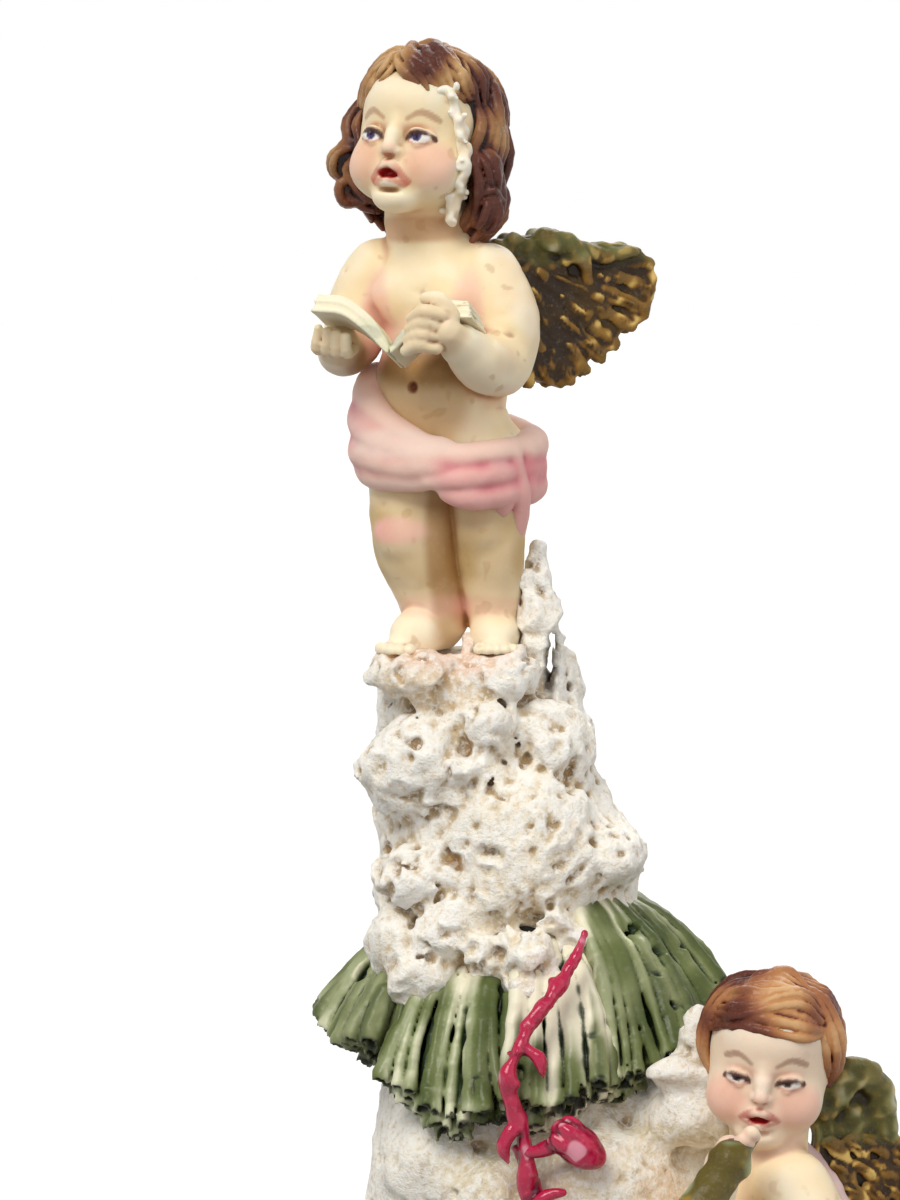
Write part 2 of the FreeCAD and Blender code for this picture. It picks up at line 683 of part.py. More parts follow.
# ------------------------------------------------------------------------------------------- sea whip
# A magenta stem that climbs the front of the mound and lies over the skirt: points from foot to tip
STEM_LINE = (
    (-8.6, -26.0, 22.0),
    (-9.8, -23.2, 34.0),
    (-10.6, -20.6, 46.0),
    (-11.4, -20.6, 53.0),
    (-12.2, -21.4, 60.1),
    (-13.3, -22.3, 65.0),
    (-9.7, -19.8, 71.4),
    (-5.9, -15.6, 77.5),
)
STEM_RADII = (1.6, 1.45, 1.3, 1.2, 1.15, 1.1, 1.05, 0.8)
stem_pieces = []
for i, (start, end) in enumerate(zip(STEM_LINE, STEM_LINE[1:])):
    stem_pieces.append(cone(f"stem_{i}", start, end, STEM_RADII[i], STEM_RADII[i + 1]))
for i, (point, radius) in enumerate(zip(STEM_LINE, STEM_RADII)):
    knot = primitive("Sphere", f"stem_knot_{i}", Radius=radius * JOINT_SWELL)
    stem_pieces.append(place(knot, *point))
stem_solid = fuse("stem_solid", stem_pieces)
part("sea_whip_stem", cut("stem_cut", stem_solid, mound_skin, *fan_parts[:3]))
bud_turn = toward((0, 0, 0), (0.80, -0.30, -0.55))
bud = fuse(
    "bud_solid",
    [
        ellipsoid("bud_flower", (-6.9, -22.8, 58.2), (2.1, 2.1, 3.0), bud_turn),
        cone("bud_stalk", (-11.9, -21.2, 58.4), (-8.2, -22.4, 58.8), 1.0, 1.5),
    ],
)
part("sea_whip_bud", cut("bud_cut", bud, stem_solid, mound_skin, *fan_parts[:3]))

# ------------------------------------------------------------------------------------------- air line
# Grommet, turned about the inlet axis. Its sketch has the radius across and the distance outwards up.
grommet_in = S.boss_face - S.grommet_wall
grommet_profile = [
    (S.grommet_bore, grommet_in - S.grommet_lip_depth),
    (S.grommet_lip, grommet_in - S.grommet_lip_depth),
    (S.grommet_lip, grommet_in),
    (S.grommet_hole, grommet_in),
    (S.grommet_hole, S.boss_face),
    (S.grommet_lip, S.boss_face),
    (S.grommet_lip, S.boss_face + S.grommet_lip_depth),
    (S.grommet_bore, S.boss_face + S.grommet_lip_depth),
]
part("inlet_grommet", turned("inlet_grommet_body", grommet_profile))
place(parts[-1], S.inlet_x, 0, S.inlet_height, TO_BACK)

# Elbow: a shaft through the grommet, a round knuckle and a spigot for the air hose, bored through
elbow_axis_y = S.boss_face + S.elbow_leg
shaft_end = grommet_in - S.barb_length
shaft = cylinder(
    "elbow_shaft_rod",
    (S.inlet_x, shaft_end, S.inlet_height),
    S.elbow_shaft,
    elbow_axis_y - shaft_end,
    TO_BACK,
)
tail = cylinder(
    "elbow_tail_rod",
    (S.inlet_x, shaft_end - S.elbow_tail_length, S.inlet_height),
    S.elbow_tail,
    S.elbow_tail_length + OVERLAP,
    TO_BACK,
)
barb = cone(
    "elbow_barb",
    (S.inlet_x, shaft_end + SKIM, S.inlet_height),
    (S.inlet_x, grommet_in - S.grommet_lip_depth - S.barb_gap, S.inlet_height),
    S.elbow_shaft,
    S.elbow_shaft + S.barb_swell,
)
flange_foot = (S.inlet_x, S.boss_face + S.grommet_lip_depth + S.flange_gap, S.inlet_height)
flange = cylinder("elbow_flange", flange_foot, S.flange_radius, S.flange_thickness, TO_BACK)
knuckle = primitive("Sphere", "elbow_knuckle", Radius=S.elbow_radius)
place(knuckle, S.inlet_x, elbow_axis_y, S.inlet_height)
collar_foot = (S.inlet_x, elbow_axis_y, S.inlet_height + S.collar_rise)
collar = cylinder("elbow_collar", collar_foot, S.elbow_radius, S.collar_height)
spigot_root = collar_foot[2] + S.collar_height
spigot_end = spigot_root + S.spigot_length
spigot_foot = (S.inlet_x, elbow_axis_y, spigot_root - OVERLAP)
spigot = cylinder("elbow_spigot", spigot_foot, S.spigot_radius, S.spigot_length + OVERLAP)
spigot_tip = cone(
    "elbow_spigot_tip",
    (S.inlet_x, elbow_axis_y, spigot_end),
    (S.inlet_x, elbow_axis_y, spigot_end + S.spigot_tip_length),
    S.spigot_radius,
    S.spigot_radius - S.spigot_tip_taper,
)
bore_in = cylinder("elbow_bore_in", inlet_middle, S.shaft_bore, elbow_axis_y, TO_BACK)
bore_length = spigot_end + S.spigot_tip_length - S.inlet_height + OVERLAP
elbow_middle = (S.inlet_x, elbow_axis_y, S.inlet_height)
bore_up = cylinder("elbow_bore_up", elbow_middle, S.spigot_bore, bore_length)
elbow_solid = fuse("elbow_solid", [shaft, tail, barb, flange, knuckle, collar, spigot, spigot_tip])
part("inlet_elbow", cut("elbow_cut", elbow_solid, bore_in, bore_up))

# Riser tube: an annular profile swept from behind the elbow's tail to the air stone
riser = new_body("riser_body")
path = sketch_on(riser, "YZ_Plane", "riser_path")
tube_start = shaft_end - S.tube_gap
lines = [
    (float(tube_start), float(S.inlet_height), float(S.riser_y + S.tube_bend), float(S.inlet_height)),
    (float(S.riser_y), float(S.inlet_height + S.tube_bend), float(S.riser_y), float(S.tube_top)),
]
for y0, z0, y1, z1 in lines:
    path.addGeometry(Part.LineSegment(Vector(y0, z0, 0), Vector(y1, z1, 0)))
bend_centre = Vector(float(S.riser_y + S.tube_bend), float(S.inlet_height + S.tube_bend), 0)
bend = Part.ArcOfCircle(
    Part.Circle(bend_centre, Vector(0, 0, 1), float(S.tube_bend)), math.pi, 1.5 * math.pi
)
path.addGeometry(bend)
path.addConstraint(Sketcher.Constraint("Tangent", 0, 2, 2, 2))
path.addConstraint(Sketcher.Constraint("Tangent", 1, 1, 2, 1))
path.addConstraint(Sketcher.Constraint("Horizontal", 0))
path.addConstraint(Sketcher.Constraint("Vertical", 1))
held = path.addConstraint(Sketcher.Constraint("Radius", 2, float(S.tube_bend)))
bind(path, f"Constraints[{held}]", S.tube_bend)
hold_point(path, 0, 1, tube_start, S.inlet_height)
hold_point(path, 1, 2, S.riser_y, S.tube_top)
ring = sketch_on(riser, "XZ_Plane", "riser_ring", -tube_start)
circle(ring, S.tube_outside, 0, S.inlet_height)
circle(ring, S.tube_bore, 0, S.inlet_height)
pipe = riser.newObject("PartDesign::AdditivePipe", "riser_pipe")
pipe.Profile = ring
pipe.Spine = (path, [])
place(riser, S.inlet_x, 0, 0)
part("riser_tube", riser)

# Air stone: a porous rod on a plastic nipple that plugs into the tube
part(
    "air_stone",
    turned(
        "air_stone_body",
        [
            (0, S.stone_bottom),
            (S.stone_radius - S.stone_bevel, S.stone_bottom),
            (S.stone_radius, S.stone_bottom + S.stone_bevel),
            (S.stone_radius, S.stone_top - S.stone_nose),
            (S.stone_radius - S.stone_nose, S.stone_top),
            (0, S.stone_top),
        ],
    ),
)
place(parts[-1], S.inlet_x, S.riser_y, 0)
cradle_top = S.cradle_height + S.cradle_thickness
part(
    "air_stone_nipple",
    turned(
        "air_stone_nipple_body",
        [
            (S.nipple_bore, S.tube_top - S.nipple_plug),
            (S.nipple_radius, S.tube_top - S.nipple_plug),
            (S.nipple_radius, S.tube_top + SKIM),
            (S.nipple_body, S.tube_top + SKIM),
            (S.nipple_body, cradle_top),
            (S.nipple_flange, cradle_top),
            (S.nipple_flange, S.stone_bottom),
            (S.nipple_bore, S.stone_bottom),
        ],
    ),
)
place(parts[-1], S.inlet_x, S.riser_y, 0)

# Cradle: a perforated disc cemented across the spire that carries the stone and lets water past
cradle = new_body("air_stone_cradle_body")
disc = sketch_on(cradle, "XY_Plane", "cradle_disc", S.cradle_height)
circle(disc, S.cradle_blank, 0, 0)
circle(disc, S.cradle_hole, S.inlet_x - S.skirt_x, S.riser_y)
pad(cradle, disc, S.cradle_thickness)
passages = sketch_on(cradle, "XY_Plane", "cradle_passages", S.cradle_height)
for i in range(PASSAGES):
    angle = 2 * math.pi * i / PASSAGES
    x, y = S.passage_circle * math.cos(angle), S.riser_y + S.passage_circle * math.sin(angle)
    circle(passages, S.passage_radius, x, y)
pocket_through(cradle, passages)
place(cradle, S.skirt_x, 0, 0)
cradle_fitted = doc.addObject("Part::Common", "cradle_fitted")
cradle_fitted.Base = cradle
cradle_fitted.Tool = spire_hollow
part("air_stone_cradle", cradle_fitted)

# ------------------------------------------------------------------------------------------- base
# Base plate: closes the mound, with screw holes over the bosses and water intakes round the middle
plate_outer = loft(
    "plate_outer",
    [[S.rim_height] + mound_rows[0][1:], [plate_top] + mound_rows[0][1:]],
    S.mound_wall + S.plate_clearance,
)
plate_holes = [
    cone(
        f"plate_screw_hole_{i}",
        (x, y, S.rim_height - SKIM),
        (x, y, plate_top + SKIM),
        S.screw_head + S.screw_clearance,
        S.screw_radius + S.screw_clearance,
    )
    for i, (x, y) in enumerate(boss_spots, 1)
]
intakes = []
for i in range(INTAKES):
    angle = 2 * math.pi * i / INTAKES
    spot = (S.intake_circle * math.cos(angle), S.intake_circle * math.sin(angle), 0)
    intakes.append(cylinder(f"water_intake_{i}", spot, S.intake_radius, plate_top + OVERLAP))
part("base_plate", cut("plate_cut", plate_outer, *plate_holes, *intakes))

# Countersunk screws, one group of four solids
screws = []
for i, (x, y) in enumerate([(size(x), size(y)) for x, y in boss_spots], 1):
    head = cone(f"screw_head_{i}", (x, y, S.rim_height), (x, y, plate_top), S.screw_head, S.screw_neck)
    shank = cylinder(f"screw_shank_{i}", (x, y, plate_top - SKIM), S.screw_radius, S.shank_length)
    cross = []
    for half_x, half_y in ((S.drive_long, S.drive_short), (S.drive_short, S.drive_long)):
        low = (x - half_x, y - half_y, S.rim_height - OVERLAP)
        high = (x + half_x, y + half_y, S.rim_height + S.drive_depth)
        cross.append(box(f"screw_slot_{i}_{len(cross)}", low, high))
    screws.append(cut(f"screw_{i}", fuse(f"screw_blank_{i}", [head, shank]), *cross))
screw_group = doc.addObject("Part::Compound", "screw_group")
screw_group.Links = screws
part("base_screws", screw_group)

# Rubber feet, one group of four pads under the plate
foot_spots = [(S.foot_x * sx, S.plate_middle + S.foot_y * sy) for sx in (-1, 1) for sy in (-1, 1)]
feet = []
for i, (x, y) in enumerate(foot_spots, 1):
    feet.append(
        cone(f"foot_{i}", (x, y, 0), (x, y, S.foot_height), S.foot_radius - S.foot_draft, S.foot_radius)
    )
foot_group = doc.addObject("Part::Compound", "foot_group")
foot_group.Links = feet
part("rubber_feet", foot_group)

part("leg_dowels", doc.addObject("Part::Compound", "leg_dowel_group")).Links = leg_dowels + [seat_dowel]
part("wing_dowels", doc.addObject("Part::Compound", "wing_dowel_group")).Links = wing_dowels


# ------------------------------------------------------------------------------------------- output
def check_document():
    """Stops the build if an object failed or a sub-part has no valid shape."""
    faults = [
        f"{thing.Name}: {thing.getStatusString()}"
        for thing in doc.Objects
        if "Invalid" in thing.State or "Error" in thing.State
    ]
    faults += [
        f"{thing.Label} has no valid shape"
        for thing in parts
        if thing.Shape.isNull() or not thing.Shape.isValid()
    ]
    if faults:
        raise RuntimeError("\n".join(faults))


doc.recompute()
check_document()
os.makedirs("parts", exist_ok=True)
for thing in parts:
    thing.Shape.exportStep(f"parts/{thing.Label}.step")
    print(f"{thing.Label}: {len(thing.Shape.Solids)} solids, {thing.Shape.Volume:.1f} mm3")
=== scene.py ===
import math
from itertools import product

import bpy
import numpy as np
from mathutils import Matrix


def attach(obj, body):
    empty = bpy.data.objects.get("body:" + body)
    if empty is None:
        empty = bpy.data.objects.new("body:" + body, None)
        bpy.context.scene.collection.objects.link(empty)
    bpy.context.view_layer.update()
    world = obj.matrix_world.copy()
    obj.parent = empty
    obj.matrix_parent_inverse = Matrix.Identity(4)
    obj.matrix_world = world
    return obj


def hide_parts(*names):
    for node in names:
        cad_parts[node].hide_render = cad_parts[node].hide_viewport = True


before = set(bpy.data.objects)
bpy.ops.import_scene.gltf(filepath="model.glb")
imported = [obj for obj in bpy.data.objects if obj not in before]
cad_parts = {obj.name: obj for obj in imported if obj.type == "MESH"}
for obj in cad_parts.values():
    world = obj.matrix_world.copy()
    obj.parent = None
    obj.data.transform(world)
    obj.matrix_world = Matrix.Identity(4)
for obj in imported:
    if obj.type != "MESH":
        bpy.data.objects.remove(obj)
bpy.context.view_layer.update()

import openvdb
from mathutils import Euler, Vector

# The ornament's sculpted and painted surfaces. Every sculpted piece is modelled as virtual clay: a grid of
# signed distances that shapes are added to and cut from, turned into a mesh at the end. All clay is in the
# CAD's own frame in millimetres: X to the viewer's right, Y away from the viewer, Z up from the floor.

MM = 0.001
FAR = 4.0  # distance given to clay that no shape has come near
SOFTENING_PASSES = 2
ISLAND_SHARE = 1 / 50  # loose crumbs with a smaller share of a piece's points are dropped
SIDES = (-1, 1)  # the viewer's left, the viewer's right


# ------------------------------------------------------------------------------------------ small helpers
def linear(code):
    """A web colour as linear red, green and blue."""
    channels = [int(code[i : i + 2], 16) / 255 for i in (0, 2, 4)]
    return np.array([c / 12.92 if c <= 0.04045 else ((c + 0.055) / 1.055) ** 2.4 for c in channels])


def rise(values, low, high):
    """0 at low, 1 at high, smooth between."""
    t = np.clip((values - low) / (high - low), 0, 1)
    return t * t * (3 - 2 * t)


def turn_matrix(degrees):
    """A rotation from turns about X, then Y, then Z."""
    return np.array(Euler([math.radians(d) for d in degrees]).to_matrix())


def curve(points, per_span=6):
    """A smooth line (Catmull-Rom) through points, with per_span steps between each pair."""
    p = np.array(points, float)
    p = np.vstack([2 * p[0] - p[1], p, 2 * p[-1] - p[-2]])
    line = []
    for i in range(1, len(p) - 2):
        for t in np.arange(per_span) / per_span:
            a, b, c, d = p[i - 1 : i + 3]
            square, cube = 2 * a - 5 * b + 4 * c - d, 3 * b - a - 3 * c + d
            line.append(0.5 * (2 * b + (c - a) * t + square * t**2 + cube * t**3))
    return np.array(line + [p[-2]])


def spread(values, count):
    """A short list of values stretched evenly to count of them."""
    return np.interp(np.linspace(0, 1, count), np.linspace(0, 1, len(values)), values)


# ------------------------------------------------------------------------------------------------- clay
class Clay:
    """A block of clay on a regular grid. Shapes are placed in the frame that hold() sets."""

    def __init__(self, low, high, step):
        self.step = step
        self.axes = [np.arange(a, b + step, step, dtype=np.float32) for a, b in zip(low, high)]
        self.field = np.full([len(axis) for axis in self.axes], FAR, np.float32)
        self.hold()

    def hold(self, centre=(0, 0, 0), turn=(0, 0, 0), scale=1.0):
        """Shapes that follow are in a frame at centre, turned in degrees and scaled."""
        self.centre, self.turn, self.scale = np.array(centre, float), turn_matrix(turn), scale
        return self

    def world(self, point):
        """A point of the held frame, in the world."""
        return self.centre + self.scale * self.turn @ np.array(point, float)

    def window(self, low, high):
        """The grid cells round a box of the held frame, and their places in that frame."""
        corners = np.array([self.world(c) for c in product(*zip(low, high))])
        cells, offsets = [], []
        for i, axis in enumerate(self.axes):
            first = int(np.searchsorted(axis, corners[:, i].min() - self.step))
            last = int(np.searchsorted(axis, corners[:, i].max() + self.step))
            cells.append(slice(first, last))
            shape = [1, 1, 1]
            shape[i] = -1
            offsets.append(((axis[first:last] - self.centre[i]) / self.scale).reshape(shape))
        if not np.allclose(self.turn, np.eye(3)):
            rows = self.turn.T.astype(np.float32)
            offsets = [sum(row[i] * offsets[i] for i in range(3)) for row in rows]
        return tuple(cells), offsets

    def join(self, cells, distance, blend, carve):
        """Adds a shape to the clay, or cuts it out, with a fillet of size blend."""
        now = self.field[cells]
        if not now.size:
            return
        distance = distance * self.scale
        sign = -1 if carve else 1
        a, b = sign * now, distance.astype(np.float32)
        blend = max(blend * self.scale, 1e-3)
        near = np.maximum(blend - np.abs(a - b), 0) / blend
        self.field[cells] = sign * (np.minimum(a, b) - near * near * blend / 4)

    def blob(self, at, radii, turn=(0, 0, 0), blend=0.5, carve=False):
        """An ellipsoid."""
        at, radii = np.array(at, float), np.array(radii, float) * np.ones(3)
        reach = (radii.max() if any(turn) else radii) + blend
        cells, offsets = self.window(at - reach, at + reach)
        offsets = [o - a for o, a in zip(offsets, at)]
        if any(turn):
            rows = turn_matrix(turn).T
            offsets = [sum(row[i] * offsets[i] for i in range(3)) for row in rows]
        inner = sum((o / r) ** 2 for o, r in zip(offsets, radii))
        slope = np.sqrt(sum((o / r**2) ** 2 for o, r in zip(offsets, radii))) + 1e-4
        self.join(cells, (inner - np.sqrt(inner)) / slope, blend, carve)

    def tube(self, points, radii, blend=0.5, carve=False, squash=None):
        """A tapered tube along a line. squash is (axis, factor): the tube is that much thicker there."""
        points = np.array(points, float)
        radii = spread(radii if hasattr(radii, "__len__") else [radii], len(points))
        stretch = np.ones(3)
        if squash:
            stretch[squash[0]] = squash[1]
        for a, b, ra, rb in zip(points, points[1:], radii, radii[1:]):
            reach = (max(ra, rb) + blend) * np.maximum(stretch, 1)
            cells, offsets = self.window(np.minimum(a, b) - reach, np.maximum(a, b) + reach)
            offsets = [(o - s) / k for o, s, k in zip(offsets, a, stretch)]
            along = (b - a) / stretch
            length = max(float(along @ along), 1e-9)
            t = np.clip(sum(o * k for o, k in zip(offsets, along)) / length, 0, 1)
            away = np.sqrt(sum((o - t * k) ** 2 for o, k in zip(offsets, along)))
            self.join(cells, away - (ra + (rb - ra) * t), blend, carve)

    def limb(self, points, radii, per_span=3, blend=0.7, carve=False):
        """A tapered tube along a smooth line through points."""
        self.tube(curve(points, per_span), radii, blend, carve)

    def block(self, at, half, turn=(0, 0, 0), rounding=0.3, blend=0.3, carve=False):
        """A box with rounded edges, of half sizes half."""
        at, half = np.array(at, float), np.array(half, float)
        reach = (np.linalg.norm(half) if any(turn) else half) + blend
        cells, offsets = self.window(at - reach, at + reach)
        offsets = [o - a for o, a in zip(offsets, at)]
        if any(turn):
            rows = turn_matrix(turn).T
            offsets = [sum(row[i] * offsets[i] for i in range(3)) for row in rows]
        excess = [np.abs(o) - (h - rounding) for o, h in zip(offsets, half)]
        outside = np.sqrt(sum(np.maximum(e, 0) ** 2 for e in excess))
        inside = np.minimum(np.maximum(np.maximum(excess[0], excess[1]), excess[2]), 0)
        self.join(cells, outside + inside - rounding, blend, carve)

    def plate(self, outline, half, blend=0.3):
        """A flat plate in the held frame's XZ plane, with that outline and half thickness."""
        outline = np.array(outline, float)
        low, high = outline.min(0) - blend, outline.max(0) + blend
        cells, (x, y, z) = self.window((low[0], -half - blend, low[1]), (high[0], half + blend, high[1]))
        x, z = x + 0 * z, z + 0 * x
        away, inside = np.full(x.shape, 1e9), np.zeros(x.shape, bool)
        for (ax, az), (bx, bz) in zip(outline, np.roll(outline, -1, axis=0)):
            ex, ez = bx - ax, bz - az
            t = np.clip(((x - ax) * ex + (z - az) * ez) / (ex**2 + ez**2), 0, 1)
            away = np.minimum(away, np.hypot(x - ax - t * ex, z - az - t * ez))
            crosses = (az > z) != (bz > z)
            inside ^= crosses & (x < ax + ex * (z - az) / (ez if ez else 1e-9))
        edge = np.where(inside, -away, away)
        self.join(cells, np.maximum(edge, np.abs(y) - half), blend, False)

    def noise(self, size, seed):
        """A smooth random field over the block, from about -1 to 1, with features of that size."""
        random = np.random.default_rng(seed)
        weights = []
        for axis in self.axes:
            place = (axis - axis[0]) / size
            cell = place.astype(int)
            t = place - cell
            spline = ((1 - t) ** 3, 3 * t**3 - 6 * t**2 + 4, -3 * t**3 + 3 * t**2 + 3 * t + 1, t**3)
            table = np.zeros((len(axis), cell.max() + 4), np.float32)
            for i, column in enumerate(spline):
                table[np.arange(len(axis)), cell + i] = column / 6
            weights.append(table)
        lattice = random.uniform(-2.4, 2.4, [w.shape[1] for w in weights]).astype(np.float32)
        out = np.tensordot(weights[0], lattice, 1)
        return np.matmul(weights[1], out) @ weights[2].T

    def roughen(self, size, depth, seed, pits=None, ridged=False):
        """Moves the surface by depth: in and out, or only in, as scattered pits or between sharp ridges."""
        field = self.noise(size, seed)
        if pits is not None:
            field = np.maximum(field - pits, 0)
        self.field += depth * (np.abs(field) if ridged else field)

    def soften(self, radius):
        """The block's field averaged over a radius, by passes of a box filter."""
        soft = np.clip(self.field, -FAR, FAR)
        reach = max(1, int(round(radius / self.step)))
        for axis in [0, 1, 2] * SOFTENING_PASSES:
            margins = [(reach + 1, reach) if i == axis else (0, 0) for i in range(3)]
            total = np.cumsum(np.pad(soft, margins, mode="edge"), axis=axis, dtype=np.float64)
            count = soft.shape[axis]
            high = np.take(total, range(2 * reach + 1, 2 * reach + 1 + count), axis=axis)
            low = np.take(total, range(count), axis=axis)
            soft = ((high - low) / (2 * reach + 1)).astype(np.float32)
        return soft

    def sample(self, field, places):
        """A field's values at places counted in grid steps."""
        places = np.clip(places, 0, np.array(field.shape) - 1.001)
        cell = places.astype(int)
        t = places - cell
        out = 0
        for corner in product((0, 1), repeat=3):
            weight = np.prod([t[:, i] if c else 1 - t[:, i] for i, c in enumerate(corner)], axis=0)
            out = out + weight * field[tuple(cell[:, i] + c for i, c in enumerate(corner))]
        return out

    def mesh(self, thrift=0.0):
        """The surface: points in mm, faces, points in grid steps. Thrift makes smooth parts' faces larger."""
        grid = openvdb.FloatGrid(background=FAR)
        grid.copyFromArray(np.ascontiguousarray(self.field))
        points, triangles, quads = grid.convertToPolygons(isovalue=0.0, adaptivity=thrift)
        corners = np.vstack([quads, triangles[:, [0, 1, 2, 2]]]) if len(triangles) else quads
        keep = largest_island(len(points), corners)
        index = np.cumsum(keep) - 1
        faces = [index[f[keep[f[:, 0]]]][:, ::-1] for f in (quads, triangles) if len(f)]
        points = points[keep]
        return points * self.step + np.array([a[0] for a in self.axes]), faces, points


def largest_island(count, quads):
    """Which points belong to connected islands of more than a fiftieth of the mesh."""
    label = np.arange(count)
    edges = np.vstack([quads[:, [0, 1]], quads[:, [1, 2]], quads[:, [2, 3]], quads[:, [3, 0]]])
    while True:
        lowest = label.copy()
        pair = np.minimum(label[edges[:, 0]], label[edges[:, 1]])
        np.minimum.at(lowest, edges[:, 0], pair)
        np.minimum.at(lowest, edges[:, 1], pair)
        lowest = lowest[lowest]
        if (lowest == label).all():
            break
        label = lowest
    sizes = np.bincount(label, minlength=count)
    return sizes[label] > count * ISLAND_SHARE


# ------------------------------------------------------------------------------------------------ paint
class Coat:
    """The paint on a piece: one colour for each point of its mesh, laid on in masks."""

    def __init__(self, clay, points, steps):
        self.clay, self.points, self.steps = clay, points, steps
        self.colour = np.ones((len(points), 3))
        self.gloss = np.zeros(len(points))

    def lay(self, colour, mask):
        self.colour += (linear(colour) - self.colour) * np.clip(mask, 0, 1)[:, None]

    def cover(self, colour):
        """The base coat, over everything."""
        self.colour[:] = linear(colour)

    def relief(self, radius):
        """How proud of its surroundings each point is: below 0 in a hollow, above on a ridge."""
        return self.clay.sample(self.clay.soften(radius), self.steps) / radius

    def cloud(self, size, seed):
        """Smooth random patches, about -1 to 1."""
        return self.clay.sample(self.clay.noise(size, seed), self.steps)

    def local(self):
        """The points in the frame the clay holds now."""
        return (self.points - self.clay.centre) @ self.clay.turn / self.clay.scale

    def near(self, at, radii, soft=0.5):
        """1 inside an ellipsoid of the held frame, falling to 0 over soft times its size."""
        gone = np.sqrt((((self.local() - np.array(at)) / (np.array(radii) * np.ones(3))) ** 2).sum(1))
        return 1 - rise(gone, 1, 1 + soft)

    def along(self, line, width, soft=0.5):
        """1 within width of a line of the held frame."""
        local, best = self.local(), np.full(len(self.points), 1e9)
        line = np.array(line, float)
        for a, b in zip(line, line[1:]):
            step = b - a
            t = np.clip((local - a) @ step / max(step @ step, 1e-9), 0, 1)
            best = np.minimum(best, np.linalg.norm(local - a - t[:, None] * step, axis=1))
        return 1 - rise(best / width, 1, 1 + soft)

    def dab(self, colour, at, radii, soft, strength):
        """A soft-edged patch of paint, in the held frame."""
        self.lay(colour, self.near(at, radii, soft) * strength)

    def ridges(self, colour, radius, levels, strength):
        """Lays a lighter colour on what stands proud, from none at the first level to all at the second: a
        painted highlight.
        """
        self.lay(colour, rise(self.relief(radius), *levels) * strength)

    def hollows(self, colour, radius, levels, strength):
        """Lays a darker colour into what lies deep: painted shade."""
        self.lay(colour, rise(-self.relief(radius), *levels) * strength)

    def patches(self, colour, size, levels, strength, seed):
        """Random patches of paint."""
        self.lay(colour, rise(self.cloud(size, seed), *levels) * strength)


def finish_piece(name, nodes, clay, paint, material, thrift=0.0):
    """Turns clay into a smooth-shaded piece with its paint, riding on the ornament."""
    points, faces, steps = clay.mesh(thrift)
    coat = Coat(clay, points, steps)
    paint(coat)
    mesh = bpy.data.meshes.new(name)
    mesh.from_pydata((points * MM).tolist(), [], [face for group in faces for face in group.tolist()])
    mesh.shade_smooth()
    colour = mesh.attributes.new("paint", "FLOAT_COLOR", "POINT")
    colour.data.foreach_set("color", np.column_stack([coat.colour, np.ones(len(points))]).ravel())
    gloss = mesh.attributes.new("gloss", "FLOAT", "POINT")
    gloss.data.foreach_set("value", np.clip(coat.gloss, 0, 1))
    mesh.materials.append(material)
    piece = bpy.data.objects.new(name, mesh)
    bpy.context.collection.objects.link(piece)
    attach(piece, "ornament")
    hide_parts(*nodes)
    print(f"{name}: {len(mesh.polygons)} faces")
    return piece


# -------------------------------------------------------------------------------------------- materials
class Nodes:
    """Short names for building a material's node tree."""

    def __init__(self, name):
        self.material = bpy.data.materials.new(name)
        self.material.use_nodes = True
        self.tree = self.material.node_tree
        self.shader = self.tree.nodes["Principled BSDF"]
        self.place = self.add("ShaderNodeTexCoord").outputs["Object"]

    def add(self, kind, **fields):
        node = self.tree.nodes.new(kind)
        for field, value in fields.items():
            setattr(node, field, value)
        return node

    def link(self, source, target):
        self.tree.links.new(source, target)

    def noise(self, size_mm, detail=3.0, roughness=0.6):
        """Noise with features of a size, 0 to 1."""
        node = self.add("ShaderNodeTexNoise")
        self.link(self.place, node.inputs["Vector"])
        node.inputs["Scale"].default_value = 1 / (size_mm * MM)
        node.inputs["Detail"].default_value = detail
        node.inputs["Roughness"].default_value = roughness
        return node.outputs["Fac"]

    def span(self, value, low, high, to_low=0.0, to_high=1.0):
        """value moved from one range to another, clamped."""
        node = self.add("ShaderNodeMapRange")
        self.link(value, node.inputs["Value"])
        ends = {"From Min": low, "From Max": high, "To Min": to_low, "To Max": to_high}
        for key, number in ends.items():
            node.inputs[key].default_value = number
        return node.outputs["Result"]

    def attribute(self, name, output):
        return self.add("ShaderNodeAttribute", attribute_name=name).outputs[output]

    def math(self, operation, a, b):
        node = self.add("ShaderNodeMath", operation=operation)
        for socket, value in zip(node.inputs, (a, b)):
            if isinstance(value, (int, float)):
                socket.default_value = value
            else:
                self.link(value, socket)
        return node.outputs[0]

    def tint(self, base, code, factor):
        """base mixed with a web colour, or with another socket."""
        node = self.add("ShaderNodeMix", data_type="RGBA")
        colour_a, colour_b, result = node.inputs[6], node.inputs[7], node.outputs[2]
        if isinstance(factor, (int, float)):
            node.inputs[0].default_value = factor
        else:
            self.link(factor, node.inputs[0])
        if isinstance(base, str):
            colour_a.default_value = (*linear(base), 1)
        else:
            self.link(base, colour_a)
        colour_b.default_value = (*linear(code), 1)
        return result

    def bump(self, height, depth_mm, normal=None):
        node = self.add("ShaderNodeBump")
        node.inputs["Strength"].default_value = 1.0
        node.inputs["Distance"].default_value = depth_mm * MM
        self.link(height, node.inputs["Height"])
        if normal is not None:
            self.link(normal, node.inputs["Normal"])
        return node.outputs["Normal"]

    def set(self, **values):
        for key, value in values.items():
            socket = self.shader.inputs[key.replace("_", " ")]
            if isinstance(value, (int, float, tuple)):
                socket.default_value = value
            else:
                self.link(value, socket)
        return self.material


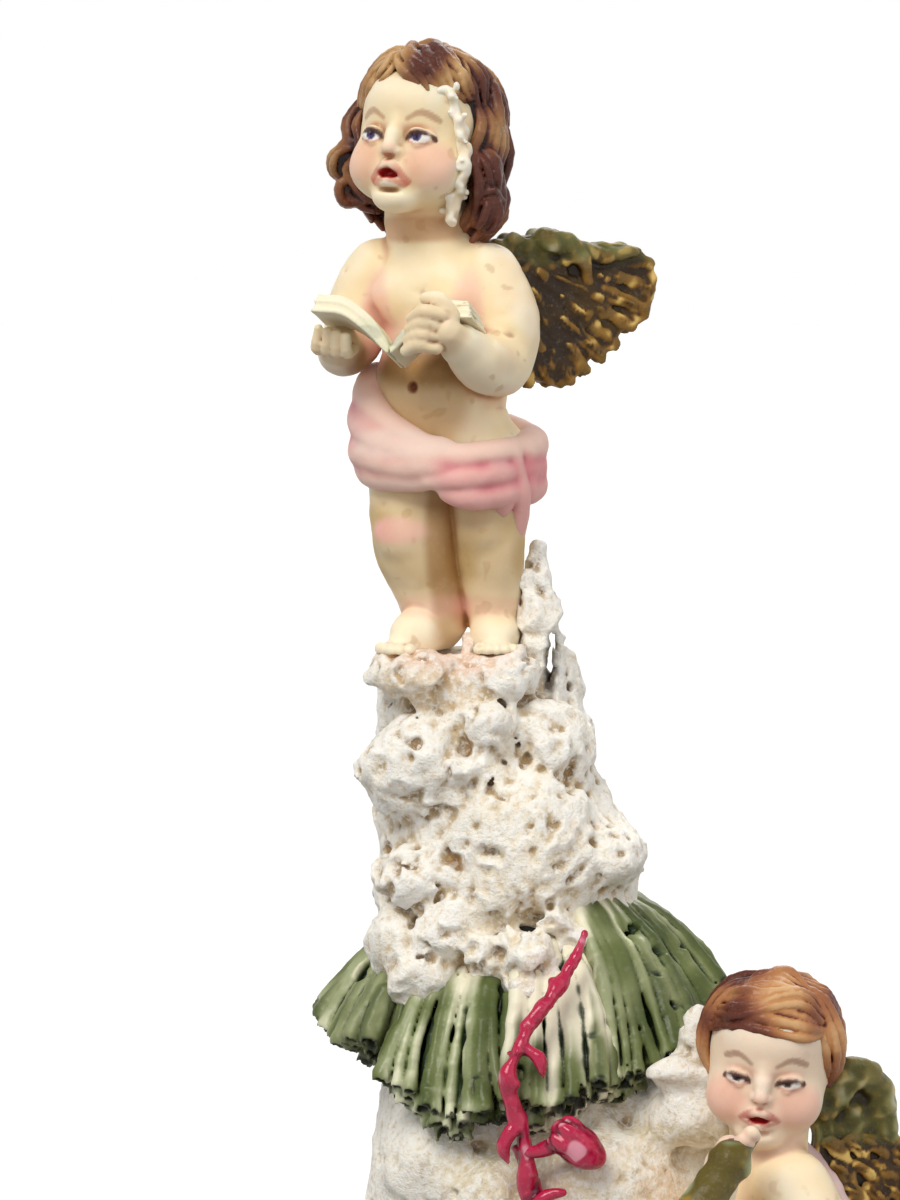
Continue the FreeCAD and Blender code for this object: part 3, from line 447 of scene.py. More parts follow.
def painted(name, roughness=(0.45, 0.65), grain=0.5, grain_depth=0.04, shine=0.25, skin=0.0, coat=0.0):
    """Hand-painted resin: the piece's own paint, uneven, with a fine brushed grain."""
    n = Nodes(name)
    paint = n.attribute("paint", "Color")
    broad, fine = n.noise(3.0, 4), n.noise(grain, 3)
    paint = n.tint(paint, "FFFFFF", n.span(fine, 0.55, 0.8, 0, 0.06))
    gloss = n.attribute("gloss", "Fac")
    rough = n.math("SUBTRACT", n.span(broad, 0.3, 0.7, *roughness), n.math("MULTIPLY", gloss, 0.35))
    n.set(Base_Color=paint, Roughness=rough, Normal=n.bump(fine, grain_depth), Specular_IOR_Level=shine)
    if skin:
        n.set(Subsurface_Weight=skin, Subsurface_Radius=(1.0, 0.55, 0.3), Subsurface_Scale=0.0012)
    if coat:
        n.set(Coat_Weight=coat, Coat_Roughness=0.15)
    return n.material


def porous(name):
    """Resin cast from porous coral: the piece's paint over a crumbly grain, darker in the grain's pits and
    paler on its raised crumbs.

    The piece's gloss marks the hollows that keep their dark paint and painted shade instead of the crumbs'
    painted highlight.
    """
    n = Nodes(name)
    grit, crumb = n.noise(0.28, 4, 0.7), n.noise(0.7, 3, 0.6)
    broad = n.noise(5.0, 3)
    paint = n.attribute("paint", "Color")
    # beige and brown in the pits that the bump sinks: partly the coral's own colour, partly painted shade
    paint = n.tint(paint, "CDB082", n.span(crumb, 0.44, 0.34, 0.0, 0.4))
    paint = n.tint(paint, "94754A", n.span(grit, 0.38, 0.28, 0.0, 0.35))
    kept = n.math("SUBTRACT", 1.0, n.attribute("gloss", "Fac"))
    # paler on the raised crumbs: a painted highlight
    paint = n.tint(paint, "FFFDF8", n.math("MULTIPLY", n.span(crumb, 0.48, 0.60, 0.0, 0.7), kept))
    paint = n.tint(paint, "EFE2CC", n.span(broad, 0.45, 0.7, 0, 0.3))
    normal = n.bump(grit, 0.16, n.bump(crumb, 0.30))
    n.set(Base_Color=paint, Roughness=n.span(grit, 0.3, 0.7, 0.5, 0.8), Normal=normal)
    n.set(Subsurface_Weight=0.1, Subsurface_Radius=(1.0, 0.8, 0.6), Subsurface_Scale=0.0006)
    return n.material


# ----------------------------------------------------------------------------------------------- the rock
# Sections of the rock from the bottom up: height, centre x, centre y, half width, half depth
MOUND_SECTIONS = (
    (1.5, -0.2, -1.5, 32.4, 29.5),
    (14.0, -0.4, -1.0, 30.6, 28.0),
    (30.0, -1.4, 0.0, 27.6, 24.2),
    (46.0, -3.0, 0.0, 24.0, 20.2),
    (56.0, -6.0, 0.0, 20.2, 16.6),
    (66.0, -10.0, 0.0, 15.0, 13.0),
)
SPIRE_SECTIONS = (
    (63.0, -12.6, 0.0, 13.2, 12.2),
    (72.0, -13.4, 0.0, 13.6, 12.4),
    (84.0, -13.4, 0.3, 13.4, 12.0),
    (93.0, -15.6, 0.6, 11.4, 10.6),
    (99.0, -16.8, 0.8, 9.4, 9.2),
    (104.0, -17.8, 0.8, 8.6, 8.4),
)
WALL = 3.4  # the rock's thickness round its hollow
ROCK_THRIFT = 0.15  # how far the rock's smoother stretches are simplified


def column(clay, sections, inset=0.0):
    """Distance to a rock whose level sections are ellipses, cut flat at both ends."""
    heights = np.array([s[0] for s in sections])
    z = clay.axes[2]
    cx, cy, a, b = (np.interp(z, heights, [s[i] for s in sections]) for i in (1, 2, 3, 4))
    x = clay.axes[0][:, None, None] - cx
    y = clay.axes[1][None, :, None] - cy
    a, b = a - inset, b - inset
    share = np.sqrt((x / a) ** 2 + (y / b) ** 2) + 1e-6
    side = np.sqrt(x**2 + y**2) * (1 - 1 / share)
    ends = np.maximum(heights[0] + inset - z, z - heights[-1] + inset)
    return np.maximum(side, ends).astype(np.float32)


def everywhere(clay):
    return tuple(slice(None) for _ in clay.axes)


# Lumps of the spire: place, half sizes
SPIRE_LUMPS = (
    ((-22.6, -5.6, 101.8), (4.9, 4.6, 3.0)),  # block under the left foot
    ((-13.8, -6.0, 102.0), (4.6, 4.2, 2.9)),  # block under the right foot
    ((-15.2, -8.6, 97.0), (2.7, 2.5, 2.7)),  # knob that overhangs
    ((-22.8, -7.0, 93.0), (5.5, 5.2, 5.6)),
    ((-17.8, -10.6, 93.4), (1.9, 1.7, 1.5)),
    ((-8.8, -4.8, 94.6), (4.4, 5.4, 5.4)),
    ((-11.4, -8.6, 84.8), (8.2, 5.0, 8.6)),
    ((-4.4, -5.4, 83.6), (5.4, 6.0, 3.9)),
    ((-22.8, -7.4, 82.0), (4.9, 5.0, 3.9)),
    ((-24.0, -6.0, 75.8), (3.8, 5.4, 5.0)),
    ((-19.4, -10.8, 76.8), (3.4, 2.8, 3.3)),
    ((-15.6, -11.8, 75.2), (2.5, 2.2, 2.4)),
    ((-11.8, -12.0, 75.8), (2.7, 2.2, 2.5)),
    ((-8.4, -11.6, 77.8), (2.5, 2.2, 2.2)),
    ((-22.0, -9.8, 72.2), (4.0, 3.4, 3.4)),
    ((-10.8, -13.2, 73.6), (3.2, 3.4, 5.2)),  # flat pale lobe between the fans
    ((-6.8, -10.2, 76.4), (2.8, 3.0, 2.6)),
    ((-22.0, 6.0, 90.0), (5.0, 5.0, 6.0)),
    ((-9.6, 8.0, 86.0), (5.4, 4.6, 7.0)),
    ((-15.0, 9.6, 77.0), (7.0, 4.0, 6.0)),
)
SPIRE_HOLLOWS = (
    ((-14.8, -12.0, 93.9), (3.4, 1.5, 0.8)),
    ((-20.4, -12.4, 85.4), (2.8, 1.3, 0.8)),
    ((-18.6, -11.0, 99.0), (0.7, 2.0, 2.4)),
    ((-26.8, -8.0, 85.8), (2.4, 2.6, 0.9)),
    ((-14.6, -14.2, 78.4), (3.4, 1.2, 0.7)),
)
FOOT_LUMPS = (
    ((-17.0, -1.6, 104.2), (1.4, 3.2, 1.9)),  # between the feet
    ((-24.6, -1.6, 104.0), (1.8, 3.0, 1.4)),
    ((-21.4, -7.6, 103.6), (3.2, 1.0, 0.9)),
    ((-12.4, -5.6, 104.0), (1.4, 1.8, 1.3)),
)
# Deep hollows painted rust-brown, partly the rock's own colour and partly their painted shade: place, size
OCHRE_HOLLOWS = (((-19.6, -12.0, 84.9), 1.9), ((-15.0, -10.8, 94.3), 2.4), ((-16.4, -12.6, 74.2), 2.0))
OUTLET = (-9.8, 4.8)  # x and y of the bubble outlet's shaft
INLET = (-12, 11)  # x and height of the air inlet's axis
# The middle line of the spur beside the right foot
SPUR = (
    (-10.0, -1.6, 98.0), (-10.0, -2.0, 104.0), (-10.0, -2.0, 107.4),
    (-10.5, -1.6, 110.6), (-10.3, -1.2, 114.2),
)
PORES = dict(size=0.8, seed=4)
WORM_HOLES = dict(size=1.5, seed=5)


def rock_paint(coat, hollows=(), pore_colour_and_shade=1.0):
    """White rock with a painted highlight on what stands proud; beige in its pores and ochre in its deepest
    hollows, partly their own colour and partly painted shade.
    """
    coat.cover("FBF6EC")
    coat.patches("F3E4C6", 6.0, (0.0, 0.9), 0.6, seed=11)
    small, large = coat.relief(0.5), coat.relief(1.6)
    # paler on what stands proud: a painted highlight
    coat.lay("FFFCF4", rise(small, 0.02, 0.3) * 0.8)
    # beige to brown in the hollows and pores, darker the deeper they lie: partly the rock's own colour,
    # partly painted shade
    coat.lay("C4A877", rise(-large, 0.02, 0.30) * 0.65)
    coat.lay("C7AE84", rise(-small, 0.02, 0.30) * 0.8 * pore_colour_and_shade)
    coat.lay("8F7145", rise(-small, 0.22, 0.55) * 0.75 * pore_colour_and_shade)
    coat.lay("8A6A40", rise(coat.cloud(**PORES), 0.55, 0.8) * 0.65 * pore_colour_and_shade)
    coat.lay("7A5A34", rise(-large, 0.30, 0.60) * 0.6)
    for at, size in hollows:
        # rust-brown in the listed deep hollows: partly the rock's own colour, partly painted shade
        ochre_and_shade = coat.near(at, (size, size, size), 0.8) * rise(-large, -0.05, 0.3)
        coat.lay("8C6228", ochre_and_shade * 0.85)
        coat.gloss += 0.8 * ochre_and_shade


def build_spire():
    clay = Clay((-31, -18, 62.2), (3.5, 16.5, 116), step=0.25)
    clay.join(everywhere(clay), column(clay, SPIRE_SECTIONS), 1.0, False)
    for at, radii in SPIRE_LUMPS:
        clay.blob(at, radii, blend=1.1)
    for at, radii in SPIRE_HOLLOWS:
        clay.blob(at, radii, blend=0.8, carve=True)
    clay.roughen(7.0, depth=0.5, seed=1)
    clay.roughen(2.6, depth=0.5, seed=2)
    # flat under the feet
    clay.block((-19.2, -1.6, 107.2), (7.0, 6.8, 2.4), rounding=1.0, blend=0.8, carve=True)
    for at, radii in FOOT_LUMPS:
        clay.blob(at, radii, blend=0.8)
    # spur beside the right foot, and the ridge behind it with a crevice between them
    clay.tube(SPUR, [2.8, 2.6, 2.5, 2.1, 1.3], blend=1.0)
    clay.blob((-11.9, -2.8, 111.4), (0.8, 0.8, 0.7), blend=0.3)
    clay.tube([(-6.6, 0.4, 94), (-7.2, 0.2, 100), (-7.6, 0.0, 103.4)], [2.8, 1.9, 1.8], blend=1.0)
    clay.roughen(1.9, depth=0.55, seed=3, ridged=True)
    clay.roughen(0.95, depth=0.55, seed=6, ridged=True)
    clay.roughen(PORES["size"], depth=1.2, seed=PORES["seed"], pits=0.35)
    clay.roughen(WORM_HOLES["size"], depth=1.1, seed=WORM_HOLES["seed"], pits=0.65)
    # the bubble outlet, and the cavity below it
    hollow = column(clay, [(60.0, *SPIRE_SECTIONS[0][1:]), *SPIRE_SECTIONS[1:-1]], WALL)
    clay.join(everywhere(clay), hollow, 0.6, True)
    clay.tube([(*OUTLET, 92), (*OUTLET, 112)], [2.3, 2.3], blend=0.6, carve=True)
    crevice = [(-9.2, -1.4, 99.6), (-9.1, -1.2, 102.6), (-9.0, -1.0, 107.0)]
    clay.tube(crevice, [0.3, 0.6, 0.6], blend=0.3, carve=True, squash=(1, 4.5))

    def paint(coat):
        rock_paint(coat, OCHRE_HOLLOWS)
        # the outlet's shaft and the crevice beside the spur painted dark brown: painted shade inside them
        outlet = coat.along([(*OUTLET, 90), (*OUTLET, 107)], 3.0, 0.2)
        crack = coat.near((-9.1, -0.8, 103.0), (1.0, 3.4, 4.4), 0.3)
        coat.lay("5A4220", outlet * 0.85)
        coat.lay("3A2810", crack * 0.9)
        coat.gloss += np.maximum(outlet, crack)
        coat.dab("F0C4A8", (-19.0, -6.0, 104.0), (4.8, 4.0, 1.8), soft=0.8, strength=0.6)
        coat.dab("DDBB86", (-21.4, -9.0, 100.6), (4.0, 2.6, 1.6), soft=0.8, strength=0.5)

    rock = porous("porous_rock")
    finish_piece("coral_rock_spire", ["coral_spire"], clay, paint, rock, thrift=ROCK_THRIFT)


# Lumps of the mound: place, half sizes
MOUND_LUMPS = (
    ((13.5, -18.0, 11.3), (14.4, 13.4, 13.6)),  # seat
    ((12.0, -27.0, 4.8), (13.0, 8.6, 10.4)),  # foot ledge
    ((-20.6, -10.0, 54.0), (5.6, 5.4, 5.6)),
    ((-14.0, -16.0, 50.0), (6.0, 4.0, 5.6)),
    ((-4.0, -17.6, 52.0), (6.6, 4.2, 6.0)),
    ((4.6, -15.4, 59.6), (4.4, 4.6, 3.0)),
    ((5.2, -16.2, 67.6), (2.3, 2.6, 3.4)),  # smooth white bulges beside the seated head
    ((3.4, -18.0, 64.4), (3.6, 2.4, 1.5)),
    ((7.0, -14.0, 62.0), (3.2, 4.0, 4.6)),
    ((-18.0, -19.0, 38.0), (7.0, 4.6, 7.0)),
    ((-2.0, -22.4, 34.0), (8.0, 4.6, 8.0)),
    ((-24.0, -13.0, 24.0), (7.4, 7.0, 8.0)),
    ((-12.0, -25.0, 18.0), (8.0, 5.4, 8.0)),
    ((25.0, -2.0, 26.0), (6.0, 9.0, 9.0)),
    ((20.0, 8.0, 44.0), (5.0, 7.0, 8.0)),
    ((10.0, 16.0, 52.0), (8.0, 5.0, 7.0)),
    ((18.0, 18.0, 24.0), (9.0, 7.0, 9.0)),
    ((-22.0, 12.0, 42.0), (5.0, 6.0, 8.0)),
    ((0.0, 24.0, 30.0), (8.0, 4.0, 8.0)),
)


def build_mound():
    clay = Clay((-35.5, -39, 0.6), (35, 31.5, 73), step=0.36)
    clay.join(everywhere(clay), column(clay, MOUND_SECTIONS), 1.0, False)
    for at, radii in MOUND_LUMPS:
        clay.blob(at, radii, blend=3.0)
    clay.roughen(10.0, depth=0.8, seed=21)
    clay.roughen(3.4, depth=0.45, seed=22)
    clay.roughen(2.0, depth=0.40, seed=23, ridged=True)
    clay.roughen(1.1, depth=0.25, seed=25, ridged=True)
    clay.roughen(1.0, depth=1.3, seed=24, pits=0.45)
    # flat boss round the air inlet, hole through it, and the hollow inside
    x, height = INLET
    clay.tube([(x, 18, height), (x, 28.4, height)], [7.4, 7.4], blend=1.5)
    clay.block((x, 34, height), (9, 5.2, 10), rounding=0.4, blend=0.4, carve=True)
    clay.block((0, 0, -4), (60, 60, 5.6), rounding=0.2, blend=0.3, carve=True)
    below, above = (-4.0, *MOUND_SECTIONS[0][1:]), (74.0, -12.6, 0, 13.4, 12.4)
    hollow = column(clay, [below, *MOUND_SECTIONS[1:-1], above], WALL)
    clay.join(everywhere(clay), hollow, 0.6, True)
    clay.tube([(x, 16, height), (x, 34, height)], [4.0, 4.0], blend=0.3, carve=True)

    def paint(coat):
        rock_paint(coat, pore_colour_and_shade=0.7)
        coat.dab("D8C79A", (-10.0, -17.0, 54.6), (8.0, 4.0, 2.6), soft=0.7, strength=0.6)
        coat.dab("E9C9A8", (2.0, -19.0, 52.0), (2.6, 3.0, 2.6), soft=0.9, strength=0.5)
        coat.dab("C9B98A", (5.0, -17.0, 58.4), (4.6, 3.0, 0.9), soft=0.8, strength=0.6)

    rock = porous("porous_mound")
    finish_piece("coral_rock_mound", ["coral_mound"], clay, paint, rock, thrift=ROCK_THRIFT)


# ------------------------------------------------------------------------------------------- coral skirt
SKIRT_X = -12.0  # the skirt's upright axis is at this x, and y 0
# For each fan: the angles it runs between (degrees from +X towards +Y), its rim's radius, the rim's height at
# both ends and the middle, the radius and height of its root, how far the flutes turn by the rim, and how
# pale it is.
FANS = (
    ("right", (-60, 12), 20.4, (63.4, 67.8, 72.4), (10.6, 79.5), -4, 0.15),
    ("front", (-92, -61), 20.7, (62.0, 62.4, 63.2), (11.6, 76.0), -3, 0.75),
    ("front_left", (-138, -93), 20.4, (63.6, 60.8, 61.6), (11.0, 74.0), 4, 0.3),
    ("left", (-198, -146), 19.8, (67.8, 67.2, 66.4), (11.4, 76.5), 2, 0.0),
    ("back_left", (111, 163), 19.2, (63.0, 64.0, 65.0), (11.0, 75.5), 3, 0.1),
    ("back_right", (13, 110), 19.0, (69.5, 63.5, 63.5), (11.0, 78.0), -3, 0.1),
)
FLUTE_PITCH = 1.5
FLUTE_ROWS = 4
STROKES = 110  # brush strokes in a full turn


def skirt_point(radius, angle, height):
    turn = math.radians(angle)
    return np.array([SKIRT_X + radius * math.cos(turn), radius * math.sin(turn), height])


def flute(fan, share, row, random):
    """A flute's line, from the fan's root to its rim, in the given row counted inwards."""
    (first, last), rim_radius, rim_heights, (root_radius, root_height), lean = fan[:5]
    angle = first + (last - first) * share + random.uniform(-0.6, 0.6)
    bundle = 0.7 * math.sin(2.1 * share * (last - first) / 10 + first)
    low = np.interp(share, (0, 0.5, 1), rim_heights) + random.uniform(-0.5, 0.4) + bundle - 0.85 * row
    rim = rim_radius - 0.95 * row - 0.9 * abs(2 * share - 1) ** 3 + random.uniform(-0.3, 0.2) + 0.3 * bundle
    spread_out = 0.9 * (share - 0.5) * lean
    sway, phase = random.uniform(0.4, 1.5), random.uniform(0, 6.3)
    steps = []
    for t in (0, 0.35, 0.7, 1):
        radius = root_radius - 0.9 * row + (rim - root_radius + 0.9 * row) * t**0.85
        height = root_height + (low - root_height) * t**1.15
        wander = sway * math.sin(4.0 * t + phase)
        steps.append(skirt_point(radius, angle + lean * t * t + spread_out * t + wander, height))
    return np.array(steps)


def end_way(line):
    """The unit direction that a line ends in."""
    return (line[-1] - line[-2]) / np.linalg.norm(line[-1] - line[-2])


def build_fan(place, fan, seed):
    random = np.random.default_rng(seed)
    (first, last), rim = fan[:2]
    root, lean, cream = fan[3:]
    count = int(round(math.radians(last - first) * rim / FLUTE_PITCH))
    flutes = []
    for row in range(FLUTE_ROWS):
        for i in range(count + 1):
            share = np.clip((i + 0.5 * (row % 2)) / count, 0, 1)
            flutes.append((curve(flute(fan, share, row, random), 3), random.uniform(0.7, 1.3)))
    ends = np.array([line[end] for line, _ in flutes for end in (0, -1)])
    clay = Clay(ends.min(0) - 2.0, ends.max(0) + 2.0, step=0.21)
    for line, size in flutes:
        clay.tube(line, [0.5 * size, 0.78 * size, 0.86 * size], blend=0.1)
    clay.roughen(3.0, depth=0.25, seed=seed + 4)
    clay.roughen(0.9, depth=0.14, seed=seed + 1)
    clay.roughen(1.1, depth=1.2, seed=seed + 5, pits=0.62)
    # each flute ends in an open cell
    for line, size in flutes:
        way = end_way(line)
        cell = [line[-1] - way * 0.9, line[-1] + way * 1.3]
        clay.tube(cell, [0.35 * size, 0.72 * size], blend=0.12, carve=True)

    def paint(coat):
        out = np.hypot(coat.points[:, 0] - SKIRT_X, coat.points[:, 1])
        share = (out - root[0]) / (rim - root[0])
        small, fine = coat.relief(0.55), coat.relief(0.3)
        patch = coat.cloud(3.5, seed + 2)
        angle = np.degrees(np.arctan2(coat.points[:, 1], coat.points[:, 0] - SKIRT_X)) - lean * share**2
        strokes = np.interp(angle % 360, np.linspace(0, 360, STROKES), random.uniform(-1, 1, STROKES))
        streak = 0.75 * strokes + 0.35 * coat.cloud(1.6, seed + 3)
        coat.cover("66703F")
        coat.lay("8A9066", rise(patch, -0.2, 0.6) * 0.8)
        coat.lay("3C4A22", rise(-streak, 0.0, 0.7) * 0.7)
        # paler on the flutes' ridges: a painted highlight
        coat.lay("ABB28C", rise(small, 0.06, 0.25) * rise(streak, -0.3, 0.5) * 0.7)
        coat.lay("F4EED6", rise(cream * 2.2 - share * 1.7 + streak * 0.5, 0.0, 0.5) * 0.9)
        # dark green to near black in the grooves: painted shade
        coat.lay("24371C", rise(-small, -0.08, 0.08) * 0.9)
        coat.lay("0E190B", rise(-small, 0.06, 0.22) * 0.95)
        # pale on the finest ridges: a painted highlight
        coat.lay("E4E2C4", rise(fine, 0.10, 0.26) * rise(streak, 0.0, 0.6) * 0.75)
        # the open cells at the flutes' ends painted near black: painted shade inside them
        deep = np.zeros(len(out))
        for line, size in flutes:
            deep = np.maximum(deep, coat.near(line[-1] + 0.1 * end_way(line), 0.62 * size, 0.25))
        coat.lay("151B0E", deep * 0.9)
        # dark in the fine hollows near the rim: painted shade
        coat.lay("23200F", rise(share, 0.82, 0.98) * rise(-fine, 0.04, 0.25) * 0.8)
        coat.gloss += 0.35

    node = "tube_coral_" + place
    finish_piece("fluted_" + node, [node], clay, paint, GREEN)


# ------------------------------------------------------------------------------------- standing cherub
# Its own frame: origin between the feet, X to its left (the viewer's right), Y behind it, Z up.
STANDING = dict(centre=(-17.8, 0.0, 104.0), turn=(0, 0, -24))
STANDING_HEAD = (-4.0, -0.4, 50.9)
HEAD_TURN = (-7, 3, -26)  # looks a little up and to the viewer's left
STANDING_HEAD_FRAME = dict(centre=np.array(STANDING["centre"]) + STANDING_HEAD, turn=HEAD_TURN)


# A face: how open its mouth is, how far the mouth's corners droop, how high it sits, the colour of its lips,
# and how open the eyes are
CRYING = dict(open=0.34, droop=0.8, height=-3.85, colour="CF6C58", eyes=1.0)
RESTING = dict(open=0.2, droop=0.15, height=-4.0, colour="B23C3A", eyes=0.72)


def lips(face):
    """The lines of the upper and the lower lip."""
    up, droop, height = face["open"], face["droop"], face["height"]
    upper = [(0.3, -6.85, 0.42), (0.9, -6.6, 0.2 - 0.3 * droop), (1.75, -5.85, -0.25 - droop)]
    upper = [(-x, y, z) for x, y, z in reversed(upper)] + upper
    lower = [(-1.5, -5.9, -0.45 - droop), (0, -6.55, -0.75 - 1.1 * up), (1.5, -5.9, -0.45 - droop)]
    return [curve([(x, y, z + height) for x, y, z in line], 4) for line in (upper, lower)]


def eyelid(side, shift=0.0):
    """The line of an upper eyelid's edge."""
    points = ((1.35, -5.75, -0.62), (2.0, -6.15, 0.06), (2.9, -6.0, 0.12), (3.95, -4.95, -0.45))
    return curve([(side * x, y, z + shift) for x, y, z in points], 4)


def sculpt_head(clay, face):
    """A cherub's head in its own frame: origin at the middle of the skull, the face towards -Y."""
    clay.blob((0, 0.6, 0.9), (6.2, 6.9, 6.9), blend=0.1)
    clay.blob((0, -1.2, -3.0), (5.6, 5.0, 4.6), blend=1.6)
    clay.blob((0, -2.4, 3.2), (4.8, 4.1, 3.4), blend=1.2)
    for side in SIDES:
        clay.blob((side * 3.1, -3.3, -3.4), (2.6, 2.5, 2.6), blend=1.3)
        clay.blob((side * 2.55, -6.8, -0.4), (1.6, 1.1, 0.85), blend=0.9, carve=True)
        clay.blob((side * 2.55, -5.15, -0.5), (1.35, 1.0, 1.0), blend=0.12)
        clay.tube(eyelid(side, 0.5 * (face["eyes"] - 1)), [0.16, 0.26, 0.24, 0.14], blend=0.16)
        lower = [(side * 1.4, -5.7, -0.75), (side * 2.5, -5.95, -1.35), (side * 3.8, -4.95, -0.7)]
        clay.limb(lower, [0.12, 0.2, 0.12], 3, blend=0.2)
    clay.tube([(0, -5.9, 0.9), (0, -6.55, -0.5), (0, -7.1, -1.7)], [0.5, 0.5, 0.6], blend=0.9)
    clay.blob((0, -7.1, -1.95), (0.7, 0.7, 0.62), blend=0.35)
    for side in SIDES:
        clay.blob((side * 0.7, -6.5, -2.15), (0.45, 0.6, 0.4), blend=0.3)
        clay.blob((side * 0.4, -7.05, -2.6), (0.24, 0.3, 0.2), blend=0.12, carve=True)
    # the mouth's mound, its lips and the opening between them
    height = face["height"]
    clay.blob((0, -5.6, height - 0.2), (2.1, 1.2, 1.7), blend=0.9)
    upper, lower = lips(face)
    clay.tube(upper, [0.18, 0.34, 0.4, 0.4, 0.34, 0.18], blend=0.25)
    clay.tube(lower, [0.18, 0.46, 0.18], blend=0.25)
    gap = 0.14 + face["open"]
    clay.blob((0, -6.75, height - 0.1 - 0.5 * gap), (0.55, 1.1, gap * 0.9), blend=0.12, carve=True)
    for side in SIDES:
        corner = (side * 0.5, -6.65, height - 0.25 - 0.7 * gap)
        clay.blob(corner, (0.5, 1.0, gap * 0.55), blend=0.12, carve=True)
    clay.blob((0, -7.0, height + 1.2), (0.25, 0.4, 0.45), blend=0.3, carve=True)
    clay.blob((0, -4.6, -6.5), (2.3, 1.9, 1.5), blend=1.2)
    clay.blob((0, -6.2, -5.9), (1.3, 0.4, 0.25), blend=0.5, carve=True)


def paint_head(coat, iris, brow, face):
    """The painted face, in the head's frame."""
    eye_open = face["eyes"]
    front = coat.local()[:, 1] < -3.5
    for side in SIDES:
        coat.lay("EE9F8C", coat.near((side * 3.7, -5.2, -3.1), (1.6, 1.8, 1.4), 1.2) * 0.45 * front)
        coat.lay("DFA890", coat.near((side * 2.5, -6.0, 0.4), (1.5, 1.0, 0.3), 1.2) * 0.3 * front)
        white = coat.near((side * 2.6, -6.0, -0.58), (1.06, 0.9, 0.46 * eye_open), 0.2)
        coat.lay("FBF6F0", white)
        coat.gloss += 0.6 * white
        gaze = (side * 2.5 - 0.1, -6.1, -0.42)
        coat.lay(iris, coat.near(gaze, (0.46, 1.0, 0.5 * eye_open), 0.25) * white)
        coat.lay("1B1020", coat.near(gaze, (0.2, 1.0, 0.22 * eye_open), 0.3) * white)
        # a white dot on each iris: a painted highlight
        coat.lay("FFFFFF", coat.near((gaze[0] - 0.16, -6.2, -0.2), (0.09, 1.0, 0.09), 0.5) * white)
        lash = eyelid(side, -0.15 + 0.25 * (eye_open - 1))
        coat.lay("4A2420", coat.along(lash, 0.25, 0.5) * 0.95)
        under = curve([(side * 1.5, -5.9, -0.95), (side * 2.6, -6.2, -1.25), (side * 3.8, -5.1, -0.85)], 3)
        coat.lay("C98370", coat.along(under, 0.10, 0.9) * 0.6)
        arch = curve([(side * 1.25, -6.0, 1.25), (side * 2.6, -5.75, 1.95), (side * 4.3, -4.8, 1.25)], 3)
        coat.lay(brow, coat.along(arch, 0.24, 0.9) * 0.6)
        # the nostrils painted dark brown: painted shade in them
        coat.dab("B0603F", (side * 0.4, -7.0, -2.6), (0.25, 0.4, 0.2), soft=0.5, strength=0.7)
    coat.dab("F2B9A6", (0, -7.4, -2.1), (0.8, 0.6, 0.6), soft=0.8, strength=0.4)
    height = face["height"]
    for line in lips(face):
        coat.lay(face["colour"], coat.along(line, 0.4, 0.35) * 0.7)
    gap = 0.14 + face["open"]
    inside = coat.near((0, -6.6, height - 0.2 - 0.6 * gap), (0.95, 1.1, gap), 0.3)
    coat.lay("B01219", inside * 0.95)
    coat.gloss += 0.4 * inside
    if face["droop"] > 0.5:
        # a pale dab just below the lower lip: a painted highlight
        coat.dab("FFF4E4", (0.1, -6.6, height - 0.8 - 1.6 * gap), (0.8, 1.0, 0.18), soft=0.4, strength=0.8)


def paint_skin(coat, crease_shade_and_mottle=1.0):
    """Ivory skin: ochre-brown in the creases, partly brown paint and partly their painted shade, and paler on
    what stands proud as a painted highlight.
    """
    coat.cover("F5E0B8")
    coat.patches("EBCFA6", 4.5, (0.0, 0.9), 0.6, seed=61)
    coat.patches("F6E9CF", 1.7, (0.1, 0.8), 0.5, seed=63)
    small, large = coat.relief(0.45), coat.relief(1.5)
    # pink-tan to dark brown in the creases, darker the deeper they lie: partly paint, partly painted shade
    coat.lay("DDAA88", rise(-large, 0.03, 0.26) * 0.8 * crease_shade_and_mottle)
    coat.lay("A9743F", rise(-small, 0.05, 0.30) * 0.8 * crease_shade_and_mottle)
    coat.lay("6F4226", rise(-small, 0.25, 0.55) * 0.6 * crease_shade_and_mottle)
    # paler on what stands proud: a painted highlight
    coat.lay("FFF4E0", rise(large, 0.08, 0.4) * 0.5)
    coat.lay("B98E5E", rise(coat.cloud(0.6, 64), 0.75, 1.0) * 0.35 * crease_shade_and_mottle)


def fingers(first, steps):
    """Four fingers: the points of the first, and how far each point moves from one finger to the next."""
    return [np.array(first) + i * np.array(steps) for i in range(4)]


def sculpt_hand(clay, wrist, palm, lines, radius=0.62):
    """A chubby hand: a palm, and its fingers' lines."""
    clay.tube([wrist, palm], [1.8, 1.4], blend=0.7)
    for line in lines:
        clay.limb(line, [radius, radius * 1.1, radius * 0.8], blend=0.1)


def toes(clay, ball, way, size=0.62):
    """Five toes across the front of a foot. way is the unit vector the foot points along."""
    across = np.array([-way[1], way[0], 0.0])
    for step in range(-2, 3):
        at = np.array(ball) + across * step * 0.82 - np.array([*way, 0]) * step**2 * 0.22
        clay.blob(at, (size * 0.95, size * 1.5, size * 0.95), blend=0.08)


# Shoulder to elbow and elbow to wrist, the viewer's right arm first: a line and its radii
STANDING_ARMS = (
    (((2.9, -0.4, 37.2), (5.0, -1.0, 32.8), (5.1, -2.2, 28.8)), (3.4, 3.4, 3.1)),
    (((5.1, -2.4, 28.8), (5.2, -6.6, 28.8), (4.5, -10.4, 30.6)), (3.1, 2.6, 1.9)),
    (((-8.8, -0.4, 37.6), (-10.4, -1.2, 34.4), (-10.6, -3.2, 31.0)), (3.5, 3.1, 2.7)),
    (((-10.6, -3.4, 30.8), (-10.2, -6.0, 30.0), (-9.4, -8.6, 30.4)), (2.8, 2.4, 1.9)),
)


